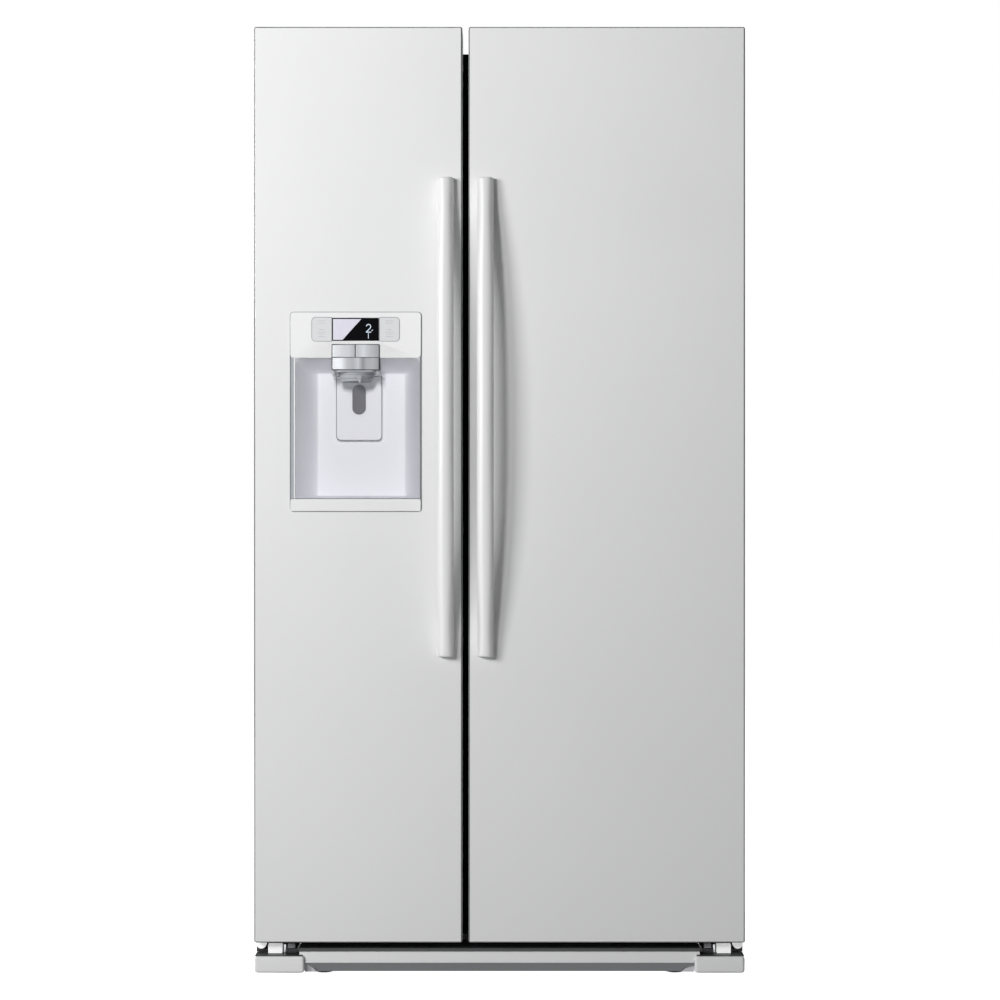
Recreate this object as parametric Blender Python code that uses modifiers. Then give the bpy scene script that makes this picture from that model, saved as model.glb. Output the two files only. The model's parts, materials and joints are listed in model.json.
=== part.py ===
"""Side by side refrigerator: a free-standing cabinet with a freezer on the left, a fridge on the right
and an ice and water dispenser in the freezer door.

Frame: metres, +Z up, doors facing -Y, +X to the right.
The origin is on the floor under the middle of the whole box.
"""

import math

import bmesh
import bpy
from mathutils import Matrix, Vector

# --- driving dimensions ---------------------------------------------------------------------------

HALF_WIDTH = 0.4549
HEIGHT = 1.779
HALF_DEPTH = 0.4475                # handle front to cord gland
GAP = 0.0003                       # between touching pieces
SHEET = 0.0010                     # steel sheet
PLASTIC = 0.0015                   # vacuum formed lining

CABINET_FRONT = -0.2825
CABINET_BACK = 0.4442
CABINET_TOP = 1.748
WRAP_BOTTOM = 0.030
FOAM_BOTTOM = 0.0635

CAVITY_FLOOR = 0.150
CAVITY_TOP = 1.690
CAVITY_BACK = 0.395
STEP_FRONT = 0.165                 # the floor steps up here to clear the machine space
STEP_TOP = 0.345
FREEZER_X = (-0.400, -0.088)
FRIDGE_X = (-0.038, 0.400)
MACHINE_FRONT = 0.215
MACHINE_TOP = 0.300
MACHINE_HALF = 0.425

DOOR_FRONT = -0.3905
DOOR_BACK = -0.2980                # back of the steel skin and its foam
LINER_BACK = -0.2955               # back of the lining's flat part
DOOR_BOTTOM = 0.082
FREEZER_DOOR_X = (-HALF_WIDTH, -0.0689)
FRIDGE_DOOR_X = (-0.0574, HALF_WIDTH)
DOOR_EDGE = 0.0035

PIN_X = 0.430
PIN_Y = -0.330
PIN_RADIUS = 0.0055
PIN_HOLE = 0.0063
HINGE_NOSE = 0.018
POCKET_FRONT = -0.3700             # the top hinge's pocket in a door

DIKE_DEPTH = 0.068                 # the raised rim on a door's lining
DIKE_WIDTH = 0.016
DIKE_BOTTOM = 0.160
DIKE_TOP = 1.681
FREEZER_DIKES = (-0.394, -0.107)
FRIDGE_DIKES = (-0.018, 0.394)
GASKET_WIDTH = 0.014
GASKET_Z = (0.128, 1.712)
FREEZER_GASKET = (-0.430, -0.0725)
FRIDGE_GASKET = (-0.0538, 0.430)

HANDLE_WIDTH = 0.031
HANDLE_Z = (0.613, 1.498)
HANDLE_BAR = 0.019
FREEZER_HANDLE_X = -0.0994
FRIDGE_HANDLE_X = -0.0259

DISPENSER_X = (-0.3870, -0.1457)
DISPENSER_Z = (0.8815, 1.2494)
RECESS_Z = (0.905, 1.165)
RECESS_BACK = -0.2765
HOUSING_BACK = -0.2745
DISPENSER_FACE = -0.3935
CONTROL_X = (-0.3094, -0.2231)     # display, buttons and band share these sides
BULGE_X = (-0.392, -0.138)
BULGE_Z = (0.872, 1.262)
BULGE_BACK = -0.250
LEVER_AXIS_Y = -0.2880
LEVER_AXIS_Z = 1.1340

DRAWER_FRONT = -0.130
LIP_DROP = 0.0045                  # a bin's top edge to the underside of its side lips
ROLLER_RADIUS = 0.020
ROLLER_X = 0.400
ROLLER_Y = (-0.220, 0.365)
FOOT_X = 0.335
FOOT_Y = -0.245

SIDES = {"left": -1, "right": 1}


# --- scene and materials --------------------------------------------------------------------------

def clear_scene():
    for item in list(bpy.data.objects):
        bpy.data.objects.remove(item, do_unlink=True)


def new_collection(name):
    collection = bpy.data.collections.new(name)
    bpy.context.scene.collection.children.link(collection)
    return collection


def new_material(name, colour, roughness, metallic=0.0, alpha=1.0):
    material = bpy.data.materials.new(name)
    material.use_nodes = True
    shader = material.node_tree.nodes["Principled BSDF"]
    shader.inputs["Base Color"].default_value = (*colour, 1.0)
    shader.inputs["Roughness"].default_value = roughness
    shader.inputs["Metallic"].default_value = metallic
    shader.inputs["Alpha"].default_value = alpha
    return material


clear_scene()
PARTS = new_collection("side_by_side_refrigerator")
CUTTERS = new_collection("cutters")

WHITE_STEEL = new_material("white_steel", (0.83, 0.84, 0.85), 0.30)
FOAM = new_material("foam", (0.85, 0.78, 0.58), 0.90)
LINING = new_material("white_lining", (0.90, 0.91, 0.92), 0.40)
GLOSS_WHITE = new_material("white_plastic", (0.88, 0.89, 0.90), 0.25)
GREY_WHITE = new_material("recess_plastic", (0.76, 0.78, 0.82), 0.35)
HANDLE_WHITE = new_material("handle_satin", (0.80, 0.81, 0.82), 0.35)
SATIN_METAL = new_material("satin_metal", (0.66, 0.69, 0.70), 0.30, 1.0)
ZINC = new_material("zinc_steel", (0.60, 0.61, 0.62), 0.45, 1.0)
BLACK_STEEL = new_material("black_steel", (0.03, 0.03, 0.03), 0.45)
DARK_RUBBER = new_material("dark_rubber", (0.16, 0.16, 0.17), 0.60)
GASKET_RUBBER = new_material("gasket_rubber", (0.72, 0.73, 0.74), 0.60)
SHELF_GLASS = new_material("shelf_glass", (0.80, 0.90, 0.88), 0.05, 0.0, 0.35)
CLEAR_PLASTIC = new_material("clear_plastic", (0.82, 0.88, 0.92), 0.15, 0.0, 0.45)
ALUMINIUM = new_material("aluminium", (0.75, 0.76, 0.77), 0.40, 1.0)
GREY_PLASTIC = new_material("grey_plastic", (0.55, 0.56, 0.57), 0.50)


# --- shapes ---------------------------------------------------------------------------------------

def to_mesh(name, bm):
    mesh = bpy.data.meshes.new(name)
    bm.to_mesh(mesh)
    bm.free()
    return mesh


def box_mesh(name, low, high):
    bm = bmesh.new()
    bmesh.ops.create_cube(bm, size=1.0)
    low, high = Vector(low), Vector(high)
    placing = Matrix.Translation((low + high) / 2) @ Matrix.Diagonal((*(high - low), 1.0))
    bmesh.ops.transform(bm, matrix=placing, verts=bm.verts)
    return to_mesh(name, bm)


def rod_mesh(name, start, end, radius, end_radius=None, segments=24):
    """A cylinder or cone from start to end."""
    start, end = Vector(start), Vector(end)
    bm = bmesh.new()
    bmesh.ops.create_cone(
        bm, cap_ends=True, segments=segments, radius1=radius,
        radius2=radius if end_radius is None else end_radius, depth=(end - start).length,
    )
    turn = (end - start).to_track_quat("Z", "Y").to_matrix().to_4x4()
    bmesh.ops.transform(bm, matrix=Matrix.Translation((start + end) / 2) @ turn, verts=bm.verts)
    mesh = to_mesh(name, bm)
    mesh.shade_smooth()
    mesh.set_sharp_from_angle(angle=math.radians(40))
    return mesh


# how a flat outline's own x, y and thickness lie in the world, for each direction of thickness
OUTLINE_AXES = {
    "X": Matrix(((0, 0, 1, 0), (1, 0, 0, 0), (0, 1, 0, 0), (0, 0, 0, 1))),
    "Y": Matrix(((1, 0, 0, 0), (0, 0, -1, 0), (0, 1, 0, 0), (0, 0, 0, 1))),
    "Z": Matrix.Identity(4),
}


def prism_mesh(name, outline, axis, low, high):
    """A closed outline in the plane across axis, given a thickness from low to high along it."""
    curve = bpy.data.curves.new(name, "CURVE")
    curve.dimensions = "2D"
    curve.fill_mode = "BOTH"
    curve.extrude = (high - low) / 2
    spline = curve.splines.new("POLY")
    spline.points.add(len(outline) - 1)
    for point, (across, up) in zip(spline.points, outline):
        point.co = (across, up, 0.0, 1.0)
    spline.use_cyclic_u = True
    holder = bpy.data.objects.new(name, curve)
    CUTTERS.objects.link(holder)
    evaluated = holder.evaluated_get(bpy.context.evaluated_depsgraph_get())
    flat = bpy.data.meshes.new_from_object(evaluated)
    bm = bmesh.new()
    bm.from_mesh(flat)
    bpy.data.objects.remove(holder, do_unlink=True)
    bmesh.ops.remove_doubles(bm, verts=bm.verts, dist=1e-6)
    bmesh.ops.dissolve_limit(bm, angle_limit=math.radians(0.1), verts=bm.verts, edges=bm.edges)
    slide = Matrix.Translation((0.0, 0.0, -(low + high) / 2 if axis == "Y" else (low + high) / 2))
    bmesh.ops.transform(bm, matrix=OUTLINE_AXES[axis] @ slide, verts=bm.verts)
    bmesh.ops.recalc_face_normals(bm, faces=bm.faces)
    return to_mesh(name, bm)


def arc(centre, radius, start, end, steps):
    """Points along an arc, angles in degrees."""
    angles = [math.radians(start + (end - start) * step / steps) for step in range(steps + 1)]
    return [(centre[0] + radius * math.cos(a), centre[1] + radius * math.sin(a)) for a in angles]


def rounded(low, high, radius, steps=4):
    """A rectangle's outline with round corners."""
    (left, bottom), (right, top) = low, high
    corners = (
        ((right - radius, top - radius), 0), ((left + radius, top - radius), 90),
        ((left + radius, bottom + radius), 180), ((right - radius, bottom + radius), 270),
    )
    outline = []
    for centre, start in corners:
        outline += arc(centre, radius, start, start + 90, steps)
    return outline


def round_edges(thing, width, segments):
    edges = thing.modifiers.new("edges", "BEVEL")
    edges.width = width
    edges.segments = segments
    edges.limit_method = "ANGLE"
    edges.angle_limit = math.radians(40)


def part(name, mesh, material, bevel=0.0, segments=2):
    thing = bpy.data.objects.new(name, mesh)
    mesh.materials.append(material)
    PARTS.objects.link(thing)
    if bevel:
        round_edges(thing, bevel, segments)
    return thing


def combine(target, mesh, operation):
    tool = bpy.data.objects.new(mesh.name, mesh)
    CUTTERS.objects.link(tool)
    tool.hide_render = True
    tool.display_type = "WIRE"
    boolean = target.modifiers.new(mesh.name, "BOOLEAN")
    boolean.operation = operation
    boolean.object = tool
    return tool


def cut(target, mesh):
    return combine(target, mesh, "DIFFERENCE")


def join(target, mesh):
    return combine(target, mesh, "UNION")


def box(name, low, high, material, bevel=0.0, segments=2):
    return part(name, box_mesh(name, low, high), material, bevel, segments)


def cut_box(target, low, high):
    return cut(target, box_mesh(target.name + "_cut", low, high))


def join_box(target, low, high):
    return join(target, box_mesh(target.name + "_add", low, high))


def ordered(first, second):
    return (first, second) if first < second else (second, first)


def pivot(name, place, parent=None):
    """An empty on a joint's axis."""
    holder = bpy.data.objects.new(name, None)
    holder.empty_display_size = 0.05
    PARTS.objects.link(holder)
    holder.location = place
    hang(holder, parent)
    return holder


def hang(thing, parent):
    """Parent a thing to a pivot and keep it where it is."""
    if parent is None:
        return
    thing.parent = parent
    thing.matrix_parent_inverse = Matrix.Translation(-parent.location)


# --- cabinet --------------------------------------------------------------------------------------

def cavity_outline(inset, front):
    """Side outline (y, z) of a compartment, drawn in by inset, with the step over the machine space."""
    return [
        (front, CAVITY_FLOOR + inset), (STEP_FRONT - inset, CAVITY_FLOOR + inset),
        (STEP_FRONT - inset, STEP_TOP + inset), (CAVITY_BACK - inset, STEP_TOP + inset),
        (CAVITY_BACK - inset, CAVITY_TOP - inset), (front, CAVITY_TOP - inset),
    ]


def cavity_mesh(name, sides, inset, front):
    return prism_mesh(name, cavity_outline(inset, front), "X", sides[0] + inset, sides[1] - inset)


def cabinet_shell():
    wrap = box("cabinet_wrap", (-HALF_WIDTH, CABINET_FRONT, WRAP_BOTTOM),
               (HALF_WIDTH, CABINET_BACK, CABINET_TOP),
               WHITE_STEEL, 0.0008, 1)
    inner = HALF_WIDTH - SHEET
    cut_box(wrap, (-inner, CABINET_FRONT + SHEET, 0.0), (inner, 0.5, CABINET_TOP - SHEET))
    cut_box(wrap, (-inner, -0.30, 0.0), (inner, -0.27, FOAM_BOTTOM))
    foam_side = inner - GAP
    foam = box("cabinet_foam", (-foam_side, CABINET_FRONT + SHEET + GAP, FOAM_BOTTOM + GAP),
               (foam_side, CABINET_BACK - GAP, CABINET_TOP - SHEET - GAP), FOAM)
    cut_box(foam, (-MACHINE_HALF, MACHINE_FRONT, 0.0), (MACHINE_HALF, 0.5, MACHINE_TOP))
    for name, sides in (("freezer_liner", FREEZER_X), ("fridge_liner", FRIDGE_X)):
        cut_box(wrap, (sides[0], -0.30, CAVITY_FLOOR), (sides[1], -0.27, CAVITY_TOP))
        cut(foam, cavity_mesh(name + "_space", sides, 0.0, -0.30))
        liner = part(name, cavity_mesh(name, sides, GAP, CABINET_FRONT), LINING)
        cut(liner, cavity_mesh(name + "_hollow", sides, GAP + PLASTIC, -0.30))
    box("back_panel", (-HALF_WIDTH, CABINET_BACK + GAP, MACHINE_TOP + 0.005),
        (HALF_WIDTH, CABINET_BACK + GAP + SHEET, CABINET_TOP), ZINC)


def machine_cover():
    """The rear cover of the machine space, with rows of vent slots and a hole for the cord gland."""
    cover = box("machine_cover", (-0.440, CABINET_BACK + GAP, 0.036),
                (0.440, CABINET_BACK + GAP + 0.0016, MACHINE_TOP + 0.003), ZINC)
    for bank in (-0.22, 0.22):
        for row in range(5):
            height = 0.100 + 0.032 * row
            cut_box(cover, (bank - 0.13, 0.43, height), (bank + 0.13, 0.46, height + 0.012))
    gland_x, gland_z = 0.400, 0.270
    cut(cover, rod_mesh("gland_hole", (gland_x, 0.43, gland_z), (gland_x, 0.46, gland_z), 0.0105))
    stem = rod_mesh("cord_gland", (gland_x, 0.4300, gland_z), (gland_x, 0.4462, gland_z), 0.0100)
    gland = part("cord_gland", stem,
                 DARK_RUBBER)
    rim = rod_mesh("gland_rim", (gland_x, 0.4463, gland_z), (gland_x, HALF_DEPTH, gland_z), 0.0150, 0.0130)
    join(gland, rim)
    join(gland, rod_mesh("gland_neck", (gland_x, 0.4400, gland_z), (gland_x, 0.4470, gland_z), 0.0100))
    cut(gland, rod_mesh("gland_bore", (gland_x, 0.42, gland_z), (gland_x, 0.46, gland_z), 0.0045))


def base_frame():
    side = HALF_WIDTH - SHEET - GAP
    frame = box("base_frame", (-side, CABINET_FRONT + 0.001, 0.0332), (side, 0.4430, FOAM_BOTTOM), ZINC)
    cut_box(frame, (-side + 0.002, -0.30, 0.0), (side - 0.002, 0.50, FOAM_BOTTOM - 0.0022))
    for sign in SIDES.values():
        for y in ROLLER_Y:
            for shift in (-0.016, 0.016):
                x = sign * ROLLER_X + shift
                join_box(frame, (x - 0.001, y - 0.014, 0.0100), (x + 0.001, y + 0.014, FOAM_BOTTOM - 0.001))
            cut(frame, rod_mesh("axle_hole", (sign * ROLLER_X - 0.02, y, ROLLER_RADIUS),
                                (sign * ROLLER_X + 0.02, y, ROLLER_RADIUS), 0.0046))
        foot_x = sign * FOOT_X
        cut(frame, rod_mesh("foot_hole", (foot_x, FOOT_Y, 0.05), (foot_x, FOOT_Y, 0.08), 0.0056))


def roller(name, x, y):
    """A transport roller that turns on its own axle."""
    holder = pivot(name + "_axis", (x, y, ROLLER_RADIUS))
    tyre = rod_mesh(name, (x - 0.0135, y, ROLLER_RADIUS), (x + 0.0135, y, ROLLER_RADIUS), ROLLER_RADIUS)
    wheel = part(name, tyre,
                 DARK_RUBBER, 0.002, 1)
    axle = rod_mesh(name + "_axle", (x - 0.019, y, ROLLER_RADIUS), (x + 0.019, y, ROLLER_RADIUS), 0.0040)
    join(wheel, axle)
    hang(wheel, holder)


def levelling_foot(name, x):
    holder = pivot(name + "_axis", (x, FOOT_Y, 0.0))
    foot = part(name, rod_mesh(name, (x, FOOT_Y, 0.0), (x, FOOT_Y, 0.009), 0.017, 0.014, 12), DARK_RUBBER)
    join(foot, rod_mesh(name + "_screw", (x, FOOT_Y, 0.004), (x, FOOT_Y, 0.0605), 0.0048, None, 16))
    hang(foot, holder)


def leg_cover():
    """The bar across the foot of the cabinet, and a deeper cap under each bottom hinge."""
    bar_half, wall = 0.372, 0.003
    outline = [
        (-0.3000, 0.0670), (-0.3720, 0.0670), (-0.3790, 0.0470), (-0.3520, 0.0310), (-0.3300, 0.0310),
        (-0.3300, 0.0310 + wall), (-0.3510, 0.0310 + wall), (-0.3745, 0.0480), (-0.3695, 0.0670 - wall),
        (-0.3000, 0.0670 - wall),
    ]
    cover = part("leg_cover", prism_mesh("leg_cover", outline, "X", -bar_half, bar_half), GLOSS_WHITE)
    for sign in SIDES.values():
        low, high = ordered(sign * 0.4549, sign * 0.362)
        cap = join_box(cover, (low, -0.3870, 0.0245), (high, -0.2900, 0.0560))
        cap_edges = cap.modifiers.new("edges", "BEVEL")
        cap_edges.width = 0.006
        cap_edges.segments = 3
        cut_box(cover, (low + wall, -0.3840, 0.0), (high - wall, -0.2800, 0.0530))


def hinge_outline(sign, width, back, grow=0.0):
    """Plan outline of a top hinge: a round nose about the pin, and a wide tail on the cabinet's top."""
    nose = HINGE_NOSE + grow
    inner = PIN_X - width - grow
    points = [(PIN_X + nose, back)]
    points += arc((PIN_X, PIN_Y), nose, 0, -180, 10)
    points += [(PIN_X - nose, CABINET_FRONT + 0.004), (inner, CABINET_FRONT + 0.004), (inner, back)]
    return [(sign * x, y) for x, y in points]


def top_hinge(side, sign):
    low = CABINET_TOP + GAP
    plate_top = low + 0.004
    name, pin_x = "top_hinge_" + side, sign * PIN_X
    plate = prism_mesh(name, hinge_outline(sign, 0.060, -0.215), "Z", low, plate_top)
    hinge = part(name, plate, ZINC)
    pin = rod_mesh("top_pin_" + side, (pin_x, PIN_Y, 1.722), (pin_x, PIN_Y, plate_top - 0.001), PIN_RADIUS)
    join(hinge, pin)
    cover_low, cover_high = plate_top + GAP, 1.7765
    cover = part("hinge_cover_" + side,
                 prism_mesh("hinge_cover_" + side, hinge_outline(sign, 0.075, -0.185, 0.001), "Z",
                            cover_low, cover_high), GLOSS_WHITE, 0.0012, 1)
    cut(cover, prism_mesh("hinge_cover_hollow_" + side, hinge_outline(sign, 0.072, -0.188, -0.002), "Z",
                          cover_low - 0.01, cover_high - 0.0025))


def bottom_hinge(side, sign):
    """A steel bracket on the cabinet's front, whose pin stands up into the door."""
    low, high = ordered(sign * 0.448, sign * 0.380)
    hinge = box("bottom_hinge_" + side, (low, CABINET_FRONT - 0.0033, 0.0575),
                (high, CABINET_FRONT - GAP, 0.112), ZINC)
    arm_low, arm_high = ordered(sign * 0.447, sign * 0.395)
    join_box(hinge, (arm_low, -0.348, 0.0575), (arm_high, CABINET_FRONT - 0.002, 0.0625))
    pin_x = sign * PIN_X
    join(hinge, rod_mesh("bottom_collar_" + side, (pin_x, PIN_Y, 0.060), (pin_x, PIN_Y, 0.080), 0.0110))
    join(hinge, rod_mesh("bottom_pin_" + side, (pin_x, PIN_Y, 0.070), (pin_x, PIN_Y, 0.106), PIN_RADIUS))


# --- machine space --------------------------------------------------------------------------------

def compressor():
    x, y, low, radius = 0.235, 0.330, FOAM_BOTTOM + GAP, 0.082
    profile = [(0.0001, 0.195), (0.030, 0.193), (0.060, 0.178), (radius - 0.004, 0.150), (radius, 0.125),
               (radius, 0.060), (radius - 0.006, 0.035), (0.055, 0.018), (0.0001, 0.014)]
    bm = bmesh.new()
    ring = [bm.verts.new((r, 0.0, z)) for r, z in profile]
    for first, second in zip(ring, ring[1:]):
        bm.edges.new((first, second))
    pot = part("compressor", to_mesh("compressor", bm), BLACK_STEEL)
    pot.location = (x, y, low)
    screw = pot.modifiers.new("turn", "SCREW")
    screw.steps = 28
    screw.render_steps = 28
    screw.use_merge_vertices = True
    screw.merge_threshold = 0.0001
    weld = pot.modifiers.new("poles", "WELD")
    weld.merge_threshold = 0.0001
    join(pot, box_mesh("compressor_feet", (x - 0.095, y - 0.060, low), (x + 0.095, y + 0.060, low + 0.022)))
    join(pot, box_mesh("compressor_box", (x - 0.110, y - 0.030, low + 0.060),
                       (x - 0.060, y + 0.030, low + 0.125)))


def condenser_and_fan():
    low = FOAM_BOTTOM + GAP
    coil = box("condenser", (-0.395, 0.245, 0.100), (-0.165, 0.415, 0.262), BLACK_STEEL)
    for end in (-0.395, -0.168):
        join_box(coil, (end, 0.245, low + 0.0025), (end + 0.003, 0.415, 0.110))
    for gap in range(7):
        left = -0.378 + 0.030 * gap
        cut_box(coil, (left, 0.20, 0.115), (left + 0.018, 0.50, 0.247))
    hub_y, hub_z, fan_x = 0.330, 0.178, -0.105
    join(coil, rod_mesh("fan_motor", (-0.170, hub_y, hub_z), (fan_x - 0.0165, hub_y, hub_z), 0.022))
    holder = pivot("condenser_fan_axis", (fan_x, hub_y, hub_z))
    fan = part("condenser_fan",
               rod_mesh("condenser_fan", (fan_x - 0.015, hub_y, hub_z), (fan_x + 0.015, hub_y, hub_z),
                                         0.020), GREY_PLASTIC)
    for blade in range(5):
        vane = box_mesh("fan_blade", (-0.010, -0.020, 0.012), (0.010, 0.020, 0.072))
        bm = bmesh.new()
        bm.from_mesh(vane)
        for vert in bm.verts:
            vert.co.x = 0.35 * vert.co.y + (0.0012 if vert.co.x > 0 else -0.0012)
        turn = Matrix.Rotation(math.radians(72 * blade), 4, "X")
        bmesh.ops.transform(bm, matrix=Matrix.Translation((fan_x, hub_y, hub_z)) @ turn, verts=bm.verts)
        bm.to_mesh(vane)
        bm.free()
        join(fan, vane)
    hang(fan, holder)


# --- inside the compartments ----------------------------------------------------------------------

def cold_wall():
    """The panels that hide the evaporator and the fridge's air duct, and the evaporator itself."""
    wall = PLASTIC + 2 * GAP
    back = CAVITY_BACK - wall
    left, right = FREEZER_X[0] + wall, FREEZER_X[1] - wall
    cover = box("evaporator_cover", (left, 0.335, 0.352), (right, back, 1.520), LINING)
    cut_box(cover, (left + 0.003, 0.338, 0.355), (right - 0.003, 0.50, 1.517))
    for row in range(4):
        for centre in (0.42, 1.36):
            height = centre + 0.030 * row
            cut_box(cover, (left + 0.050, 0.30, height), (right - 0.050, 0.36, height + 0.012))
    coil = box("evaporator", (left + 0.020, 0.346, 0.560), (right - 0.020, 0.388, 0.980), ALUMINIUM)
    for gap in range(8):
        low = 0.580 + 0.050 * gap
        cut_box(coil, (left + 0.035, 0.30, low), (right - 0.035, 0.40, low + 0.030))
    duct = box("duct_cover", (0.080, 0.365, 0.640), (0.282, back, 1.640), LINING, 0.003, 1)
    cut_box(duct, (0.083, 0.368, 0.644), (0.279, 0.50, 1.636))
    for row in range(4):
        height = 0.760 + 0.240 * row
        for side in (0.096, 0.196):
            cut_box(duct, (side, 0.35, height), (side + 0.070, 0.38, height + 0.014))


def shelf(name, sides, height, back, front=-0.150):
    """A glass plate with a front rim; it reaches the lining on both sides."""
    wall = PLASTIC + 2 * GAP
    left, right = sides[0] + wall, sides[1] - wall
    plate = box(name, (left, front, height), (right, back, height + 0.005), SHELF_GLASS)
    join_box(plate, (left, front - 0.004, height - 0.010), (right, front + 0.006, height + 0.007))
    join_box(plate, (left, back - 0.012, height - 0.004), (right, back, height + 0.012))


def add_lips(bin_part, body_x, lip, back, high):
    """A strip round a bin's sides, just under its top edge, that rides on the rails."""
    join_box(bin_part, (body_x[0] - lip, -0.065, high - LIP_DROP),
             (body_x[1] + lip, back - 0.001, high - 0.0005))


def drawer(name, body_x, lip, back, low, high, parent_name):
    """An open-topped drawer with side lips that hang on rails, and a grip lip along its front."""
    holder = pivot(parent_name, ((body_x[0] + body_x[1]) / 2, DRAWER_FRONT, low))
    wall = 0.003
    bin_part = box(name, (body_x[0], DRAWER_FRONT, low), (body_x[1], back, high), CLEAR_PLASTIC)
    add_lips(bin_part, body_x, lip, back, high)
    join_box(bin_part, (body_x[0] + 0.002, DRAWER_FRONT - 0.012, high - 0.020),
             (body_x[1] - 0.002, DRAWER_FRONT + 0.001, high - 0.001))
    cut_box(bin_part, (body_x[0] + wall, DRAWER_FRONT + wall, low + wall),
            (body_x[1] - wall, back - wall, high + 0.01))
    cut_box(bin_part, (body_x[0] + 0.004, DRAWER_FRONT - 0.009, high - 0.03),
            (body_x[1] - 0.004, DRAWER_FRONT - 0.0005, high - 0.005))
    hang(bin_part, holder)


def rails(liner_name, wall_x, body_x, heights):
    """Ledges on a lining's side walls that the drawers' lips ride on."""
    liner = bpy.data.objects[liner_name]
    for height, back in heights:
        join_box(liner, (wall_x[0] + 0.0010, -0.100, height - 0.006), (body_x[0] - 0.0015, back, height))
        join_box(liner, (body_x[1] + 0.0015, -0.100, height - 0.006), (wall_x[1] - 0.0010, back, height))


def inside():
    cold_wall()
    freezer_body, fridge_body, lip = (-0.373, -0.128), (0.003, 0.373), 0.008
    lower_top, upper_top = 0.330, 0.560
    lower_back, upper_back = 0.155, 0.325
    ledge_low, ledge_high = lower_top - LIP_DROP - GAP, upper_top - LIP_DROP - GAP
    for kind, liner, walls, body in (
        ("freezer_drawer", "freezer_liner", FREEZER_X, freezer_body),
        ("crisper", "fridge_liner", FRIDGE_X, fridge_body),
    ):
        rails(liner, walls, body, ((ledge_low, lower_back), (ledge_high, upper_back)))
        drawer(kind + "_lower", body, lip, lower_back, 0.170, lower_top, kind + "_lower_slide")
        drawer(kind + "_upper", body, lip, upper_back, 0.355, upper_top, kind + "_upper_slide")
    shelf("freezer_shelf_lower", FREEZER_X, 0.760, 0.330)
    shelf("freezer_shelf_upper", FREEZER_X, 1.040, 0.330)
    shelf("crisper_cover", FRIDGE_X, 0.585, 0.360, -0.125)
    shelf("fridge_shelf_lower", FRIDGE_X, 0.900, 0.360)
    shelf("fridge_shelf_upper", FRIDGE_X, 1.250, 0.360)
    maker = box("ice_maker", (-0.380, 0.040, 1.560), (-0.108, 0.330, 1.660), GREY_PLASTIC, 0.004, 1)
    cut_box(maker, (-0.370, 0.060, 1.585), (-0.118, 0.300, 1.70))
    ice_bucket(freezer_body, lip)


def ice_bucket(body, lip):
    low, high, back, front = 1.310, 1.490, 0.300, -0.150
    holder = pivot("ice_bucket_slide", ((body[0] + body[1]) / 2, front, low))
    bucket = box("ice_bucket", (body[0], front, low), (body[1], back, high), CLEAR_PLASTIC)
    add_lips(bucket, body, lip, back, high)
    cut_box(bucket, (body[0] + 0.004, front + 0.006, low + 0.004),
            (body[1] - 0.004, back - 0.004, high + 0.01))
    centre = (body[0] + body[1]) / 2
    cut_box(bucket, (centre - 0.040, front + 0.020, low - 0.01), (centre + 0.040, front + 0.100, low + 0.01))
    rails("freezer_liner", FREEZER_X, body, ((high - LIP_DROP - GAP, back),))
    hang(bucket, holder)


# --- doors ----------------------------------------------------------------------------------------

def door_shell(kind, sides, sign, holder):
    """A door's painted steel skin, open at the back, and the foam that fills it.

    Both have the pocket for the top hinge, and the foam has a hole for each pin.
    """
    past = DOOR_BACK + 2 * DOOR_EDGE
    skin = box(kind + "_door_skin", (sides[0], DOOR_FRONT, DOOR_BOTTOM), (sides[1], past, HEIGHT),
               WHITE_STEEL, DOOR_EDGE, 3)
    hollow = cut_box(skin, (sides[0] + SHEET, DOOR_FRONT + SHEET, DOOR_BOTTOM + SHEET),
                     (sides[1] - SHEET, 0.0, HEIGHT - SHEET))
    round_edges(hollow, DOOR_EDGE - SHEET, 3)
    cut_box(skin, (sides[0] - 0.01, DOOR_BACK, DOOR_BOTTOM - 0.01), (sides[1] + 0.01, 0.01, HEIGHT + 0.01))
    inset = SHEET + GAP
    foam = box(kind + "_door_foam", (sides[0] + inset, DOOR_FRONT + inset, DOOR_BOTTOM + inset),
               (sides[1] - inset, DOOR_BACK, HEIGHT - inset), FOAM, DOOR_EDGE, 1)
    low, high = ordered(sign * 0.400, sign * 0.470)
    for thing in (skin, foam):
        cut_box(thing, (low, POCKET_FRONT, CABINET_TOP - 0.001), (high, -0.28, HEIGHT + 0.01))
        for start, end in ((1.715, 1.760), (0.070, 0.112)):
            hole = rod_mesh("pin_hole", (sign * PIN_X, PIN_Y, start), (sign * PIN_X, PIN_Y, end), PIN_HOLE)
            cut(thing, hole)
        hang(thing, holder)
    return skin, foam


def door_liner(name, door_x, dikes, sign, holder):
    """The door's lining: a flat sheet with a raised rim that reaches into the compartment."""
    inset = 0.005
    liner = box(name, (door_x[0] + inset, DOOR_BACK + GAP, DOOR_BOTTOM + inset),
                (door_x[1] - inset, LINER_BACK, HEIGHT - inset), LINING)
    low, high = ordered(sign * 0.398, sign * 0.470)
    cut_box(liner, (low, -0.32, CABINET_TOP - 0.003), (high, -0.28, HEIGHT + 0.01))
    depth = LINER_BACK + DIKE_DEPTH
    start = LINER_BACK - 0.001
    for left, right in ((dikes[0], dikes[0] + DIKE_WIDTH), (dikes[1] - DIKE_WIDTH, dikes[1])):
        join_box(liner, (left, start, DIKE_BOTTOM), (right, depth, DIKE_TOP))
    for bottom, top in ((DIKE_BOTTOM, DIKE_BOTTOM + 0.008), (DIKE_TOP - DIKE_WIDTH, DIKE_TOP)):
        join_box(liner, (dikes[0] + 0.001, start, bottom), (dikes[1] - 0.001, depth, top))
    hang(liner, holder)
    return liner


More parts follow.
